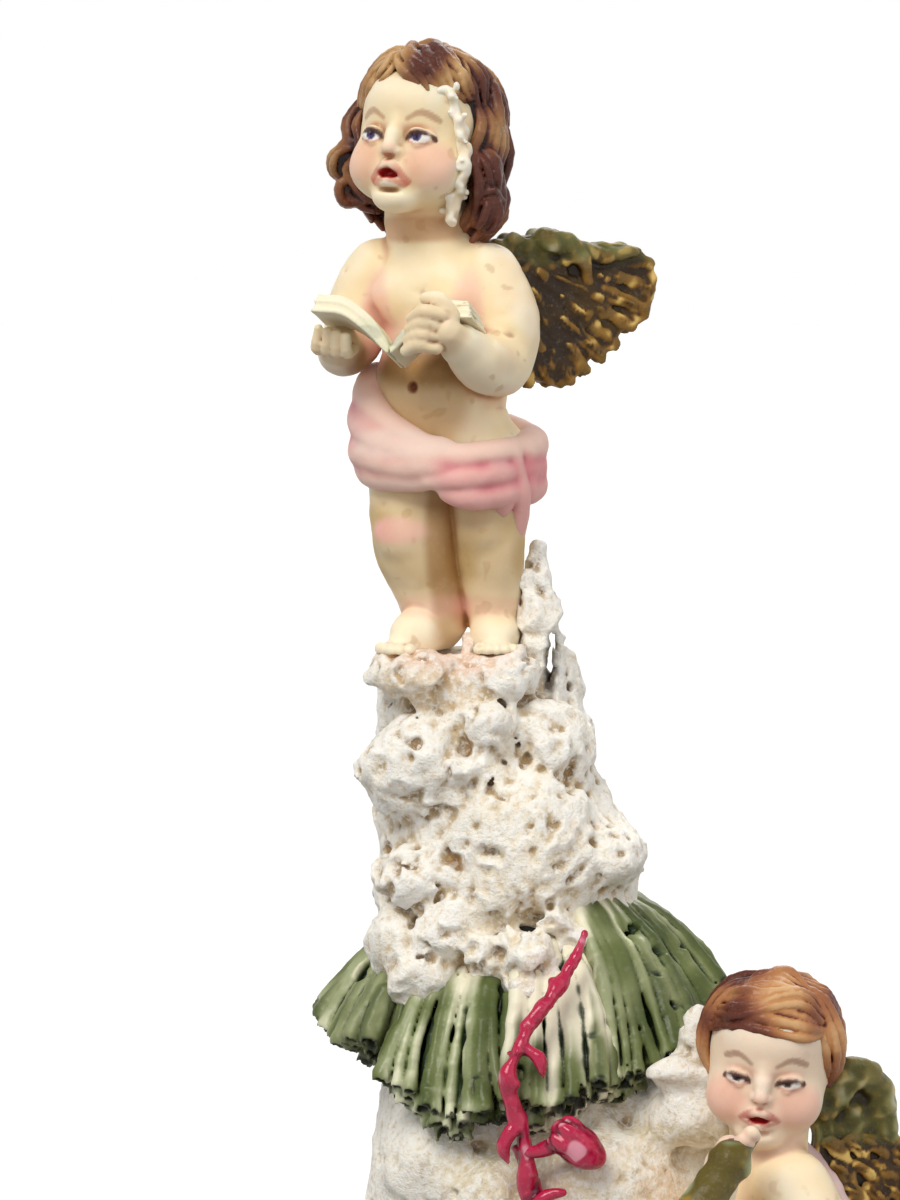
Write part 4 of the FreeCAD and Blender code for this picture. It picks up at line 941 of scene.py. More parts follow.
def build_standing_figure():
    clay = Clay((-35.8, -17.0, 103.0), (-8.0, 9.5, 162.6), step=0.2)
    clay.hold(**STANDING)
    # legs: the one on the viewer's left is the thicker
    left_leg = [(-4.6, -0.8, 19), (-4.0, -2.0, 11.4), (-3.3, -1.2, 7.6), (-2.6, -0.2, 3.2)]
    right_leg = [(2.8, 0.2, 19), (3.4, -0.8, 11.6), (3.5, -0.4, 7.4), (3.3, 0.4, 3.2)]
    clay.limb(left_leg, [4.7, 4.4, 3.7, 3.1], blend=0.6)
    clay.limb(right_leg, [4.2, 3.4, 2.9, 2.3], blend=0.6)
    clay.blob((-4.4, -5.2, 11.4), (2.4, 1.8, 1.9), blend=1.2)
    clay.blob((3.6, -3.4, 11.8), (1.8, 1.4, 1.6), blend=1.0)
    # feet and toes
    clay.hold(STANDING["centre"])
    clay.tube([(-2.6, 0.4, 2.4), (-4.6, -2.4, 1.7), (-6.0, -4.8, 0.8)], [2.6, 2.4, 1.5], blend=0.8)
    clay.tube([(3.2, -0.2, 2.4), (3.3, -2.8, 1.7), (3.4, -5.2, 0.8)], [2.2, 2.2, 1.5], blend=0.8)
    toes(clay, (-7.0, -6.5, 0.55), (-0.5, -0.87), size=0.68)
    toes(clay, (3.4, -7.0, 0.55), (0.0, -1.0), size=0.66)
    clay.hold(**STANDING)
    # trunk
    clay.blob((-1.4, 0.2, 19.6), (7.2, 5.7, 5.2), blend=1.6)
    clay.blob((-1.9, -0.8, 26.4), (6.8, 5.9, 6.6), blend=2.2)
    clay.blob((-2.3, -0.1, 35.0), (6.8, 4.9, 6.2), blend=2.4)
    for side in SIDES:
        clay.blob((-2.3 + side * 2.9, -3.2, 35.6), (3.0, 1.9, 2.4), blend=1.6)
        clay.blob((-1.4 + side * 3.6, 4.0, 19.0), (3.7, 3.0, 3.6), blend=1.2)
    clay.blob((-2.4, -6.8, 26.4), (0.42, 0.9, 0.5), blend=0.35, carve=True)
    clay.tube([(-2.8, 0.4, 38.0), (-3.6, 0.0, 43.0)], [4.8, 4.4], blend=2.0)
    for line, radii in STANDING_ARMS:
        clay.limb(line, radii)
    # one hand lies over the right page, the other holds the book from below
    over = fingers(((3.8, -13.4, 33.6), (2.2, -14.2, 33.9), (0.7, -13.9, 33.3)), ((-0.2, 0, -1.05),) * 3)
    sculpt_hand(clay, (4.5, -10.6, 30.8), (4.2, -12.8, 32.0), over, radius=0.66)
    clay.limb([(4.4, -12.4, 33.4), (3.2, -12.8, 35.0), (1.8, -12.8, 35.2)], [0.85, 0.8, 0.6], blend=0.3)
    knuckles = ((-10.6, -10.0, 30.2), (-10.4, -11.8, 30.4), (-10.0, -12.3, 32.2))
    under = fingers(knuckles, ((1.15, 0, 0), (1.1, 0, -0.2), (1.0, 0, -0.3)))
    sculpt_hand(clay, (-9.4, -8.6, 30.4), (-9.0, -10.0, 30.8), under)
    clay.roughen(1.2, depth=0.09, seed=71)
    clay.roughen(0.8, depth=0.2, seed=72, pits=0.74)
    # neck and head
    clay.hold(**STANDING_HEAD_FRAME)
    sculpt_head(clay, CRYING)
    clay.roughen(0.7, depth=0.03, seed=73)
    clay.hold()
    clay.block((-18, -3, 101.9), (20, 16, 2.2), rounding=0.1, blend=0.05, carve=True)

    def paint(coat):
        paint_skin(coat)
        coat.clay.hold(**STANDING)
        height = coat.local()[:, 2]
        shade = rise(coat.cloud(2.2, 62), -0.5, 0.8)
        # the legs painted tan, unevenly: painted shade on the lower body
        coat.lay("C3A36C", rise(-height, -17.5, -13.0) * rise(height, 4.0, 8.0) * (0.5 + 0.4 * shade))
        # dark brown across the belly under the book, paler lower down: the book's painted shadow
        coat.dab("8A5C26", (-2.0, -6.4, 29.0), (6.2, 2.6, 1.8), soft=0.9, strength=0.85)
        coat.dab("C59A5C", (-2.0, -6.4, 24.6), (4.6, 2.0, 3.4), soft=0.7, strength=0.5)
        # brown between the legs: painted shade
        coat.dab("A0713C", (-0.6, -1.6, 12.0), (0.9, 4.2, 8.0), soft=0.8, strength=0.65)
        coat.dab("F2BDB0", (2.6, -3.6, 33.0), (1.2, 2.4, 3.4), soft=0.9, strength=0.6)
        coat.dab("F2BDB0", (-7.2, -3.8, 33.0), (1.2, 2.4, 3.4), soft=0.9, strength=0.6)
        coat.dab("F0C8B4", (-2.4, -5.4, 31.6), (4.8, 2.0, 1.2), soft=0.9, strength=0.5)
        coat.lay("F2B2B0", coat.near((-4.2, -7.0, 12.2), (2.2, 1.8, 0.9), 1.0) * (0.45 + 0.25 * shade))
        coat.dab("EDB1A6", (-2.6, -1.0, 4.6), (3.4, 4.0, 1.0), soft=0.9, strength=0.3)
        coat.dab("EDB1A6", (3.4, -1.0, 4.6), (2.6, 4.0, 0.8), soft=0.9, strength=0.3)
        # dark brown in the navel: painted shade
        coat.dab("8A4B30", (-2.4, -6.4, 26.4), (0.5, 0.8, 0.5), soft=0.5, strength=0.8)
        # brown under the chin: painted shadow
        coat.dab("C48A5E", (-3.6, -3.6, 42.0), (4.6, 2.4, 1.0), soft=0.7, strength=0.6)
        right_hand = coat.near((2.6, -13.2, 32.4), (3.2, 2.6, 2.6), 0.4)
        hands = right_hand + coat.near((-9.2, -11.0, 30.8), (2.6, 2.6, 2.2), 0.4)
        coat.lay("D8BE92", hands * 0.5)
        # brown in the hollows between the fingers: painted shade
        coat.lay("9A5F38", hands * rise(-coat.relief(0.5), 0.0, 0.22) * 0.8)
        coat.clay.hold(**STANDING_HEAD_FRAME)
        paint_head(coat, "4A3F78", "A9714E", CRYING)

    finish_piece("standing_cherub_body", ["standing_cherub_figure"], clay, paint, SKIN)


# ------------------------------------------------------------------------------------------------- hair
SKULL = (6.5, 7.1, 6.8)  # half sizes of the scalp that locks lie on
SKULL_MIDDLE = np.array((0.0, 0.9, 1.1))


def on_skull(azimuth, elevation, lift=0.0):
    """A point over the skull: azimuth 0 is the face, +90 the viewer's right, elevation 90 the crown."""
    a, e = math.radians(azimuth), math.radians(elevation)
    way = np.array((math.sin(a) * math.cos(e), -math.cos(a) * math.cos(e), math.sin(e)))
    return SKULL_MIDDLE + way * (np.array(SKULL) + lift)


def scalp(*places):
    """Points on the scalp, from azimuths, elevations and lifts."""
    return [on_skull(*place) for place in places]


def unit(rows):
    return rows / np.linalg.norm(rows, axis=-1, keepdims=True)


def lock(clay, line, width, wave=0.25, strands=4, seed=0):
    """A broad lock of hair: strands side by side that wave together and taper to a point."""
    random = np.random.default_rng(seed)
    line = curve(line, 4)
    outward = unit(line - SKULL_MIDDLE)
    side = unit(np.cross(np.gradient(line, axis=0), outward))
    steps = np.linspace(0, 1, len(line))
    taper = spread([0.75, 1, 1, 0.9, 0.4], len(line))
    phase = random.uniform(0, 6.3)
    clay.tube(line - outward * 0.45 * width, 0.75 * width * taper, blend=0.2)
    for strand in range(strands):
        share = 2 * strand / (strands - 1) - 1
        bend = wave * width * np.sin(7 * steps + phase + 0.5 * share)
        across = share * 0.85 * width * taper + bend
        proud = 0.35 * width * (1 - share**2) * taper + 0.2 * width * random.uniform(-1, 1)
        path = line + side * across[:, None] + outward * proud[:, None]
        clay.tube(path, random.uniform(0.26, 0.38) * width * taper, blend=0.05)


def paint_hair(coat, dark, mid, light):
    coat.cover(mid)
    small, fine = coat.relief(0.7), coat.relief(0.3)
    patch, up = coat.cloud(2.6, 81), coat.local()[:, 2]
    # lit marks the upper hair, which gets the painted highlights below
    lit = rise(patch, -0.5, 0.6) * rise(up, -12.0, 5.0)
    coat.lay(dark, rise(-patch, -0.2, 0.7) * 0.7)
    # paler on the ridges of the upper hair: a painted highlight
    coat.lay(light, rise(small, 0.0, 0.16) * lit * 0.9)
    coat.lay("D8B283", rise(fine, 0.08, 0.22) * lit * rise(patch, 0.1, 0.8) * 0.6)
    # dark to near black in the grooves between strands: painted shade
    coat.lay(dark, rise(-small, -0.10, 0.05) * 0.9)
    coat.lay("1C0C0A", rise(-small, 0.03, 0.18) * 0.95)
    coat.gloss += 0.5


# Locks on the forehead: width, strands, and places on the scalp (azimuth, elevation, lift)
FRINGE = (
    (1.3, 3, ((-26, 62, 0.4), (-42, 50, 1.0), (-50, 36, 0.6), (-40, 24, 0.2))),
    (1.1, 3, ((-24, 60, 0.4), (-20, 50, 1.1), (-26, 40, 0.8), (-36, 33, 0.3))),
    (1.5, 4, ((-20, 62, 0.5), (4, 52, 1.1), (22, 42, 0.7), (40, 38, 0.2))),
    (1.8, 4, ((-10, 66, 0.4), (26, 58, 1.1), (50, 42, 0.8), (62, 24, 0.4))),
)
# Waves beside the cheeks, three on each side from the front back, and short curls that stand out by the jaw
WAVES = (
    (
        (-5.4, 0.4, 4.4), (-7.2, 0.2, 1.4), (-6.6, 0.4, -1.0),
        (-8.0, 0.8, -3.4), (-6.4, 1.2, -6.0), (-5.0, 1.6, -6.8),
    ),
    ((-5.8, 2.4, 4.0), (-7.4, 2.4, 0.6), (-7.0, 2.4, -2.4), (-7.8, 2.6, -4.6), (-6.0, 3.0, -7.6)),
    ((-5.2, 4.6, 3.6), (-6.6, 4.6, -0.4), (-6.2, 4.6, -3.6), (-6.6, 4.6, -6.0), (-4.8, 4.6, -8.4)),
    (
        (5.2, 0.6, 4.6), (7.0, 0.4, 1.6), (6.6, 0.6, -1.2),
        (7.7, 0.8, -3.8), (7.0, 1.4, -6.6), (5.0, 1.8, -8.8),
    ),
    (
        (5.6, 2.6, 4.0), (7.2, 2.6, 0.8), (6.8, 2.6, -2.4),
        (7.8, 2.6, -5.0), (6.4, 3.0, -8.2), (4.6, 3.0, -10.4),
    ),
    ((5.0, 4.8, 3.4), (6.6, 4.8, -0.4), (6.2, 4.8, -3.8), (7.0, 4.8, -6.4), (5.0, 4.8, -9.6)),
)
CURLS = (
    ((-6.4, -0.4, -0.6), (-8.6, -0.6, -1.6), (-9.0, 0.0, -3.6), (-7.2, 0.6, -4.4)),
    ((-6.4, 0.4, -3.4), (-8.4, 0.2, -4.6), (-8.2, 0.8, -6.4), (-6.4, 1.2, -6.8)),
    ((6.6, 0.0, -0.8), (8.4, 0.0, -2.2), (8.2, 0.6, -4.2), (6.8, 1.0, -4.6)),
    ((6.4, 0.6, -4.8), (8.4, 0.6, -6.0), (8.0, 1.0, -8.0), (6.2, 1.4, -8.4)),
)


def build_standing_hair():
    clay = Clay((-34.0, -12.0, 141.0), (-9.5, 12.5, 165.6), step=0.16)
    clay.hold(**STANDING_HEAD_FRAME)
    clay.blob((0, 1.7, 1.5), (6.5, 6.8, 6.7), blend=0.3)
    clay.blob((0.4, 4.6, -4.2), (5.2, 3.6, 4.6), blend=1.5)
    # the face is open: cut back to behind the cheeks
    clay.blob((0.2, -6.8, -1.8), (5.9, 7.4, 6.6), blend=0.6, carve=True)
    # waves over the crown, from a parting above the viewer's left eye
    part_at = on_skull(-24, 64, 0.2)
    for i, azimuth in enumerate((4, 26, 48, 70, 92)):
        way = scalp((azimuth * 0.7, 64, 0.9), (azimuth + 10, 44, 0.8), (azimuth + 20, 24, 0.2))
        lock(clay, [part_at, *way], 1.9, seed=i)
    for i, azimuth in enumerate((-52, -78, -104, -132)):
        way = scalp((azimuth * 0.8, 56, 0.8), (azimuth - 2, 34, 0.6), (azimuth - 4, 12, 0.2))
        lock(clay, [part_at, *way], 1.8, seed=10 + i)
    for i, azimuth in enumerate(range(112, 250, 24)):
        way = ((azimuth, 74, 0.2), (azimuth + 5, 46, 0.6), (azimuth - 4, 18, 0.5), (azimuth + 3, -10, 0.6))
        lock(clay, scalp(*way), 2.0, seed=20 + i)
    for i, (width, strands, way) in enumerate(FRINGE):
        lock(clay, scalp(*way), width, strands=strands, seed=40 + i)
    for i, wave in enumerate(WAVES):
        lock(clay, wave, 1.9, seed=60 + i)
    for i, curl in enumerate(CURLS):
        lock(clay, curl, 1.25, strands=3, seed=70 + i)
    for i, azimuth in enumerate(range(128, 236, 18)):
        fall = [on_skull(azimuth + 8 * math.sin(2.2 * k), 4 - 13 * k, 0.6) for k in range(5)]
        lock(clay, fall, 1.9, seed=80 + i)
    clay.roughen(0.7, depth=0.06, seed=82)

    def paint(coat):
        coat.clay.hold(**STANDING_HEAD_FRAME)
        paint_hair(coat, "44201A", "764230", "B08652")

    finish_piece("standing_cherub_locks", ["standing_cherub_hair"], clay, paint, HAIR)
    build_glue_seam()


def build_glue_seam():
    """The crumbly glue line between the face and the hair, on the viewer's right."""
    clay = Clay((-28, -10, 141.5), (-12, 6, 163.0), step=0.14)
    clay.hold(**STANDING_HEAD_FRAME)
    seam = [(3.8, -4.3, 5.0), (5.2, -3.5, 2.6), (6.0, -2.7, -0.8), (5.7, -2.1, -4.0), (4.6, -1.0, -8.0)]
    seam = curve(seam, 6)
    clay.tube(seam, [0.35, 0.55, 0.5, 0.6, 0.7], blend=0.4)
    random = np.random.default_rng(5)
    for point in np.repeat(seam, 4, axis=0):
        clay.blob(point + random.normal(0, 0.4, 3), random.uniform(0.12, 0.38), blend=0.15)
    clay.roughen(0.6, depth=0.3, seed=83)

    def paint(coat):
        coat.cover("F0DFC2")
        # darker in the hollows: painted shade; paler on the ridges: a painted highlight
        coat.hollows("B98A5C", 0.4, (0.0, 0.3), 0.8)
        coat.ridges("FFFAF0", 0.4, (0.1, 0.4), 0.6)

    finish_piece("standing_cherub_glue_seam", [], clay, paint, SKIN)


# ------------------------------------------------------------------------------------------ cloth and book
# Each fold of the sash's front is a few lines across the hips, laid side by side
SASH_BAND = (
    ((-9.0, -0.4, 27.2), (-7.9, -4.6, 25.0), (-4.8, -6.5, 22.2), (-0.8, -7.1, 20.6), (1.8, -6.8, 20.0)),
    ((-9.4, -0.6, 24.4), (-8.3, -5.0, 22.6), (-4.8, -7.0, 20.4), (-0.4, -7.5, 19.4), (3.6, -6.4, 19.0)),
    ((-9.3, -0.6, 21.4), (-8.1, -5.1, 19.9), (-4.4, -7.1, 18.8), (0.2, -7.5, 18.4), (4.2, -6.0, 18.0)),
    ((-8.8, -0.6, 19.0), (-7.6, -4.8, 17.8), (-4.0, -6.8, 17.2), (0.0, -7.3, 17.2)),
)
SASH_LAP = (
    ((-0.2, -7.5, 18.8), (3.0, -6.6, 19.4), (5.4, -4.2, 19.8), (6.2, 0.0, 20.0)),
    ((0.0, -7.8, 17.2), (3.4, -7.0, 17.4), (5.8, -4.2, 17.8), (6.5, 0.2, 18.2)),
    ((1.4, -7.2, 16.0), (3.8, -6.4, 15.6), (6.0, -3.6, 16.0), (6.6, 0.4, 16.6)),
)
SASH_BACK = (
    (6.4, 0.2, 18.2), (6.0, 3.6, 18.6), (2.8, 6.2, 19.6),
    (-2.2, 6.6, 21.0), (-7.0, 4.4, 22.8), (-9.2, -0.4, 23.6),
)
SASH_TAILS = (
    (((6.2, -2.4, 19.4), (6.9, -2.0, 16.4), (6.6, -1.2, 13.6), (6.2, -0.6, 11.4)), (1.2, 0.9, 0.85, 0.45)),
    (((5.6, -3.2, 16.8), (5.8, -3.2, 14.8), (5.2, -2.6, 13.4)), (0.8, 0.8, 0.4)),
)


def build_sash():
    """The pink sash: a sagging band, a lap folded over it at the left hip, and a hanging tail."""
    clay = Clay((-30.5, -12.5, 112.0), (-6.5, 10.5, 134.0), step=0.17)
    clay.hold(**STANDING)
    for line in SASH_BAND:
        clay.limb(line, [1.5, 1.45, 1.2, 1.05, 0.9] if len(line) > 4 else [1.3, 1.2, 0.9, 0.6], 4, blend=1.0)
    for line in SASH_LAP:
        clay.limb(line, [0.7, 1.15, 1.25, 1.1], 4, blend=0.7)
    for lift in (-2.0, 0.0, 2.0):
        clay.limb([(x, y, z + lift) for x, y, z in SASH_BACK], [1.3], 4, blend=1.0)
    for line, radii in SASH_TAILS:
        clay.limb(line, radii, 4, blend=0.5)
    clay.roughen(1.8, depth=0.12, seed=91)
    clay.roughen(0.7, depth=0.04, seed=92)

    def paint(coat):
        coat.cover("EDB2A8")
        coat.clay.hold(**STANDING)
        local = coat.local()
        lap = rise(local[:, 0], -0.6, 2.0) * rise(-local[:, 2], -20.2, -18.8)
        coat.lay("D97C86", lap * 0.85)
        coat.dab("D58C9C", (-9.0, -3.4, 21.4), (2.6, 3.6, 3.4), soft=0.7, strength=0.5)
        # paler on the folds and across the band's front: a painted highlight
        coat.lay("F8DCCB", rise(coat.relief(1.2), 0.03, 0.3) * 0.7 * (1 - 0.4 * lap))
        coat.dab("F3D9CC", (-3.4, -7.6, 20.8), (5.0, 1.8, 1.2), soft=0.6, strength=0.7)
        coat.patches("E9B8B4", 1.6, (0.2, 0.8), 0.5, seed=93)
        # darker in the folds' hollows: painted shade
        coat.hollows("B0626E", 0.6, (0.03, 0.3), 0.8)

    finish_piece("standing_cherub_sash_folds", ["standing_cherub_sash"], clay, paint, CLOTH)


BOOK = dict(centre=(-24.2, -9.3, 134.4), turn=(-14, 0, -12))
BOOK_SIDES = ((-1, -7.8, 4.2), (1, 8.0, 3.6))  # side, reach of the open cover, height of its edge
BOOK_LEAVES = 6


def build_book():
    """The open book: two curved blocks of leaves on a cover, meeting in a gutter."""
    clay = Clay((-37, -17, 129.5), (-12, -3, 142), step=0.13)
    clay.hold(**BOOK)
    random = np.random.default_rng(94)
    for side, tip, edge in BOOK_SIDES:
        for leaf in range(BOOK_LEAVES):
            up, shrink = 0.32 * leaf, 0.1 * leaf + random.uniform(-0.12, 0.12)
            profile = curve(
                [
                    (side * 0.2, 0, -1.2 + 0.5 * up),
                    (tip * 0.28, 0, 0.7 + up),
                    (tip * 0.62, 0, edge * 0.62 + up),
                    (tip - side * shrink, 0, edge + up - 1.3),
                ],
                4,
            )
            for a, b in zip(profile, profile[1:]):
                slope = math.degrees(math.atan2(b[2] - a[2], b[0] - a[0]))
                half = (np.linalg.norm(b - a) / 2 + 0.12, 3.5 - shrink, 0.13)
                clay.block((a + b) / 2, half, turn=(0, -slope, 0), rounding=0.08, blend=0.05)
    clay.roughen(1.6, depth=0.08, seed=95)

    def paint(coat):
        coat.cover("E9DDBC")
        coat.patches("CDB98A", 1.8, (0.1, 0.8), 0.5, seed=96)
        # darker between the leaves: painted shade
        coat.hollows("A58A55", 0.35, (0.0, 0.2), 0.85)
        coat.clay.hold(**BOOK)
        coat.dab("B4BC90", (-0.8, -2.6, 0.0), (3.2, 2.4, 1.8), soft=0.8, strength=0.75)
        coat.dab("35552C", (-2.4, -3.2, 0.6), (1.2, 1.0, 0.7), soft=0.5, strength=0.9)
        coat.dab("2F3A1C", (1.1, -3.2, 0.1), (1.0, 0.9, 0.7), soft=0.5, strength=0.85)
        # paler on the leaves' edges: a painted highlight
        coat.ridges("FAF4DC", 0.5, (0.05, 0.35), 0.6)

    finish_piece("standing_cherub_open_book", ["standing_cherub_book"], clay, paint, PAPER)


# ------------------------------------------------------------------------------------------------ wings
# Outlines of the wings: distance out from the root, height above it
SPREAD_WING = (
    (-0.5, 4.0), (-0.5, 14.4), (2.6, 15.4), (4.6, 15.0), (7.6, 13.8), (9.6, 14.4), (13.0, 14.6),
    (15.6, 14.0), (17.4, 12.2), (17.8, 9.6), (16.6, 6.8), (14.0, 5.4), (12.6, 3.6), (10.6, 2.6),
    (9.0, 0.8), (7.0, -0.2), (4.6, 0.2),
)
# The standing cherub's wings: side, root, heading and seed
SPREAD_WINGS = (("left", (-14.6, 2.6, 130.2), 21.7, 111), ("right", (-20.6, 4.8, 130.2), 107.5, 121))
FOLDED_WING = (
    (-0.5, 6.0), (-0.5, 20.0), (0.8, 24.6), (3.0, 26.4), (6.6, 25.0), (7.4, 20.6), (9.0, 17.0),
    (10.4, 12.0), (11.6, 7.0), (11.0, 2.6), (8.4, -0.2), (4.8, -1.0), (1.4, 2.0),
)


def feather(clay, root, tip, width, lift, bend=0.0):
    """A flat feather with a rib on both faces, in a wing's frame: X out, Y through the wing, Z up."""
    root, tip = np.array(root, float), np.array(tip, float)
    across = np.array([-(tip - root)[2], 0, (tip - root)[0]])
    across /= np.linalg.norm(across)
    line = curve([root, (root + tip) / 2 + across * bend, tip], 5)
    for face in SIDES:
        line[:, 1] = face * lift
        clay.tube(line, [width * 0.7, width, width, width * 0.7], blend=0.08, squash=(1, 0.36))
        rib = line.copy()
        rib[:, 1] = face * (lift + 0.32 * width)
        clay.tube(rib, [width * 0.24, width * 0.2, width * 0.1], blend=0.1)


def build_spread_wing(name, node, centre, heading, seed):
    """A spread wing: lumpy coverts along its top, long feathers that fan out and down below them."""
    clay = Clay(*wing_box(centre, heading, 19.5, (-2.5, 18.5), 2.6), step=0.17)
    clay.hold(centre, (0, 0, heading))
    clay.plate(SPREAD_WING, 0.75, blend=0.4)
    random = np.random.default_rng(seed)
    middle = np.array((-2.0, 0.0, 13.6))
    for ring, (reach, width, lift) in enumerate(((1.0, 1.15, 0.55), (0.74, 1.1, 0.85), (0.5, 1.0, 1.05))):
        for fall in np.linspace(-66, -4, 10 - 2 * ring) + 2.0 * ring:
            way = np.array((math.cos(math.radians(fall)), 0, math.sin(math.radians(fall))))
            far = reach * np.interp(fall, (-66, -50, -35, -15, -4), (14.4, 16.4, 17.4, 19.2, 18.8))
            start, tip = middle + way * far * 0.35, middle + way * far
            feather(clay, start, tip, width, lift + random.uniform(-0.1, 0.1), bend=0.4)
    # coverts: a bumpy roll along the top, with a second one below it near the root
    for out in np.arange(0.0, 15.0, 1.5):
        for face in SIDES:
            ridge = 13.9 + 0.4 * math.sin(out) - 0.05 * out
            at = (out + random.uniform(-0.4, 0.4), face * 0.7, ridge + random.uniform(-0.3, 0.3))
            turn = (0, random.uniform(-30, 50), 0)
            clay.blob(at, (random.uniform(1.2, 2.0), 1.0, random.uniform(0.8, 1.3)), turn=turn, blend=0.2)
            if out < 9:
                at = (out + random.uniform(-0.4, 0.4), face * 1.0, 12.0 + random.uniform(-0.6, 0.6))
                clay.blob(at, (1.3, 0.8, 0.9), turn=turn, blend=0.2)
    hook = curve([(5.0, 0, 14.8), (7.4, 0, 14.2), (9.0, 0, 12.4), (9.8, 0, 10.8)], 3)
    for face in SIDES:
        clay.tube(hook + (0, face * 1.2, 0), [1.2, 1.3, 1.0, 0.5], blend=0.3)
    clay.roughen(1.3, depth=0.30, seed=seed + 1, ridged=True)
    clay.roughen(0.6, depth=0.16, seed=seed + 2)

    def paint(coat):
        paint_wing(coat, 13.0, seed)

    finish_piece(name, [node], clay, paint, WING)


def wing_box(centre, heading, reach, heights, thickness):
    """The block that holds a wing of that reach, leaving centre on that heading."""
    turn = turn_matrix((0, 0, heading))
    corners = product((-2.0, reach), (-thickness, thickness))
    ends = [np.array(centre) + turn @ np.array((x, y, 0.0)) for x, y in corners]
    low = [min(e[i] for e in ends) for i in (0, 1)] + [centre[2] + heights[0]]
    high = [max(e[i] for e in ends) for i in (0, 1)] + [centre[2] + heights[1]]
    return low, high


def paint_wing(coat, covert_line, seed):
    """Dark olive-brown, gold dry-brushed on the ridges, greyer and greener along the coverts, with painted
    shade in the grooves and painted highlights on the coverts and the gilt.
    """
    coat.cover("2C1B04")
    small, fine = coat.relief(0.7), coat.relief(0.3)
    patch, speck = coat.cloud(1.8, seed + 3), coat.cloud(0.7, seed + 4)
    coat.lay("4A330A", rise(patch, -0.2, 0.7) * 0.7)
    up = coat.local()[:, 2]
    top = rise(up + 0.8 * patch, covert_line - 1.2, covert_line + 0.8)
    coat.lay("55521F", top * 0.8)
    coat.lay("868C5A", top * rise(small, 0.02, 0.25) * rise(patch, -0.4, 0.5) * 0.8)
    # whitish on the coverts' ridges: a painted highlight
    coat.lay("E9EAD6", top * rise(small, 0.15, 0.4) * rise(patch, 0.2, 0.7) * 0.7)
    # near black in the grooves: painted shade
    coat.lay("1F1404", rise(-small, 0.0, 0.2) * 0.85)
    gold = rise(fine, 0.01, 0.13) * (0.45 + 0.55 * rise(speck, -0.5, 0.3)) * (1 - 0.7 * top)
    coat.lay("8A5E12", gold * 0.85)
    # bright yellow on the sharpest gilt ridges: a painted highlight on the gold
    bright = rise(fine, 0.09, 0.24) * (0.1 + 0.9 * rise(speck, 0.1, 0.7)) * (1 - 0.7 * top)
    coat.lay("EBC772", bright * 0.85)
    coat.gloss += 0.3 * gold + 0.15


def build_folded_wing():
    """The seated cherub's folded wing: an olive shoulder, then rows of short gilded feathers."""
    centre, heading = (16.6, -17.6, 38.9), 21.7
    clay = Clay(*wing_box(centre, heading, 14.5, (-4.5, 28.5), 2.8), step=0.17)
    clay.hold(centre, (0, 0, heading))
    clay.plate(FOLDED_WING, 0.9, blend=0.5)
    shoulder = [(0.6, 0, 22.0), (3.2, 0, 24.8), (6.4, 0, 23.4), (7.4, 0, 18.6)]
    clay.limb(shoulder, [1.9, 1.8, 1.6, 1.3], 4, blend=0.6)
    random = np.random.default_rng(131)
    for row in range(8):
        height = 17.4 - 2.3 * row
        reach = np.interp(height, (0, 8, 18), (8.6, 10.4, 8.0))
        for out in np.arange(0.6 + 0.9 * (row % 2), reach, 2.1):
            start = (out, 0, height + 1.2)
            tip = (out + 2.3, 0, height - 0.7 + random.uniform(-0.3, 0.3))
            feather(clay, start, tip, 1.0, 0.95 - 0.03 * row, bend=0.3)
    clay.roughen(1.3, depth=0.30, seed=132, ridged=True)
    clay.roughen(0.6, depth=0.16, seed=133)

    def paint(coat):
        paint_wing(coat, 18.6, 131)

    finish_piece("seated_cherub_folded_wing", ["seated_cherub_wing"], clay, paint, WING)


# ---------------------------------------------------------------------------------------- seated cherub
SEAT = np.array((12.2, -20.0, 25.3))  # the origin of the seated cherub's own frame
SEATED_HEAD_FRAME = dict(centre=(11.9, -20.6, 66.2), turn=(9, 6, -9), scale=0.96)
# Lines and radii: legs from hip to ankle, and arms, the viewer's right one first
SEATED_LEGS = (
    (((-4.0, -1.0, 5.4), (-5.2, -10.0, 6.6), (-5.2, -11.6, 2.0), (-4.6, -11.6, -5.6)), (4.6, 4.0, 3.4, 2.6)),
    (((3.0, -1.6, 5.4), (4.4, -10.6, 6.4), (4.6, -12.0, 2.0), (4.4, -11.8, -5.8)), (4.6, 4.0, 3.4, 2.6)),
)
SEATED_ARMS = (
    (((1.4, -3.0, 28.6), (3.6, -4.2, 24.0), (5.6, -5.0, 19.0)), (3.9, 3.7, 3.1)),
    (((5.6, -5.2, 18.6), (2.6, -9.4, 18.0), (-1.6, -11.4, 19.6)), (3.1, 2.5, 1.8)),
    (((-5.0, 2.4, 25.6), (-7.4, -0.4, 21.4), (-8.4, -3.4, 17.8)), (3.1, 2.9, 2.5)),
    (((-8.4, -3.6, 17.8), (-6.9, -7.0, 25.2), (-5.2, -9.2, 32.0)), (2.5, 2.1, 1.5)),
)


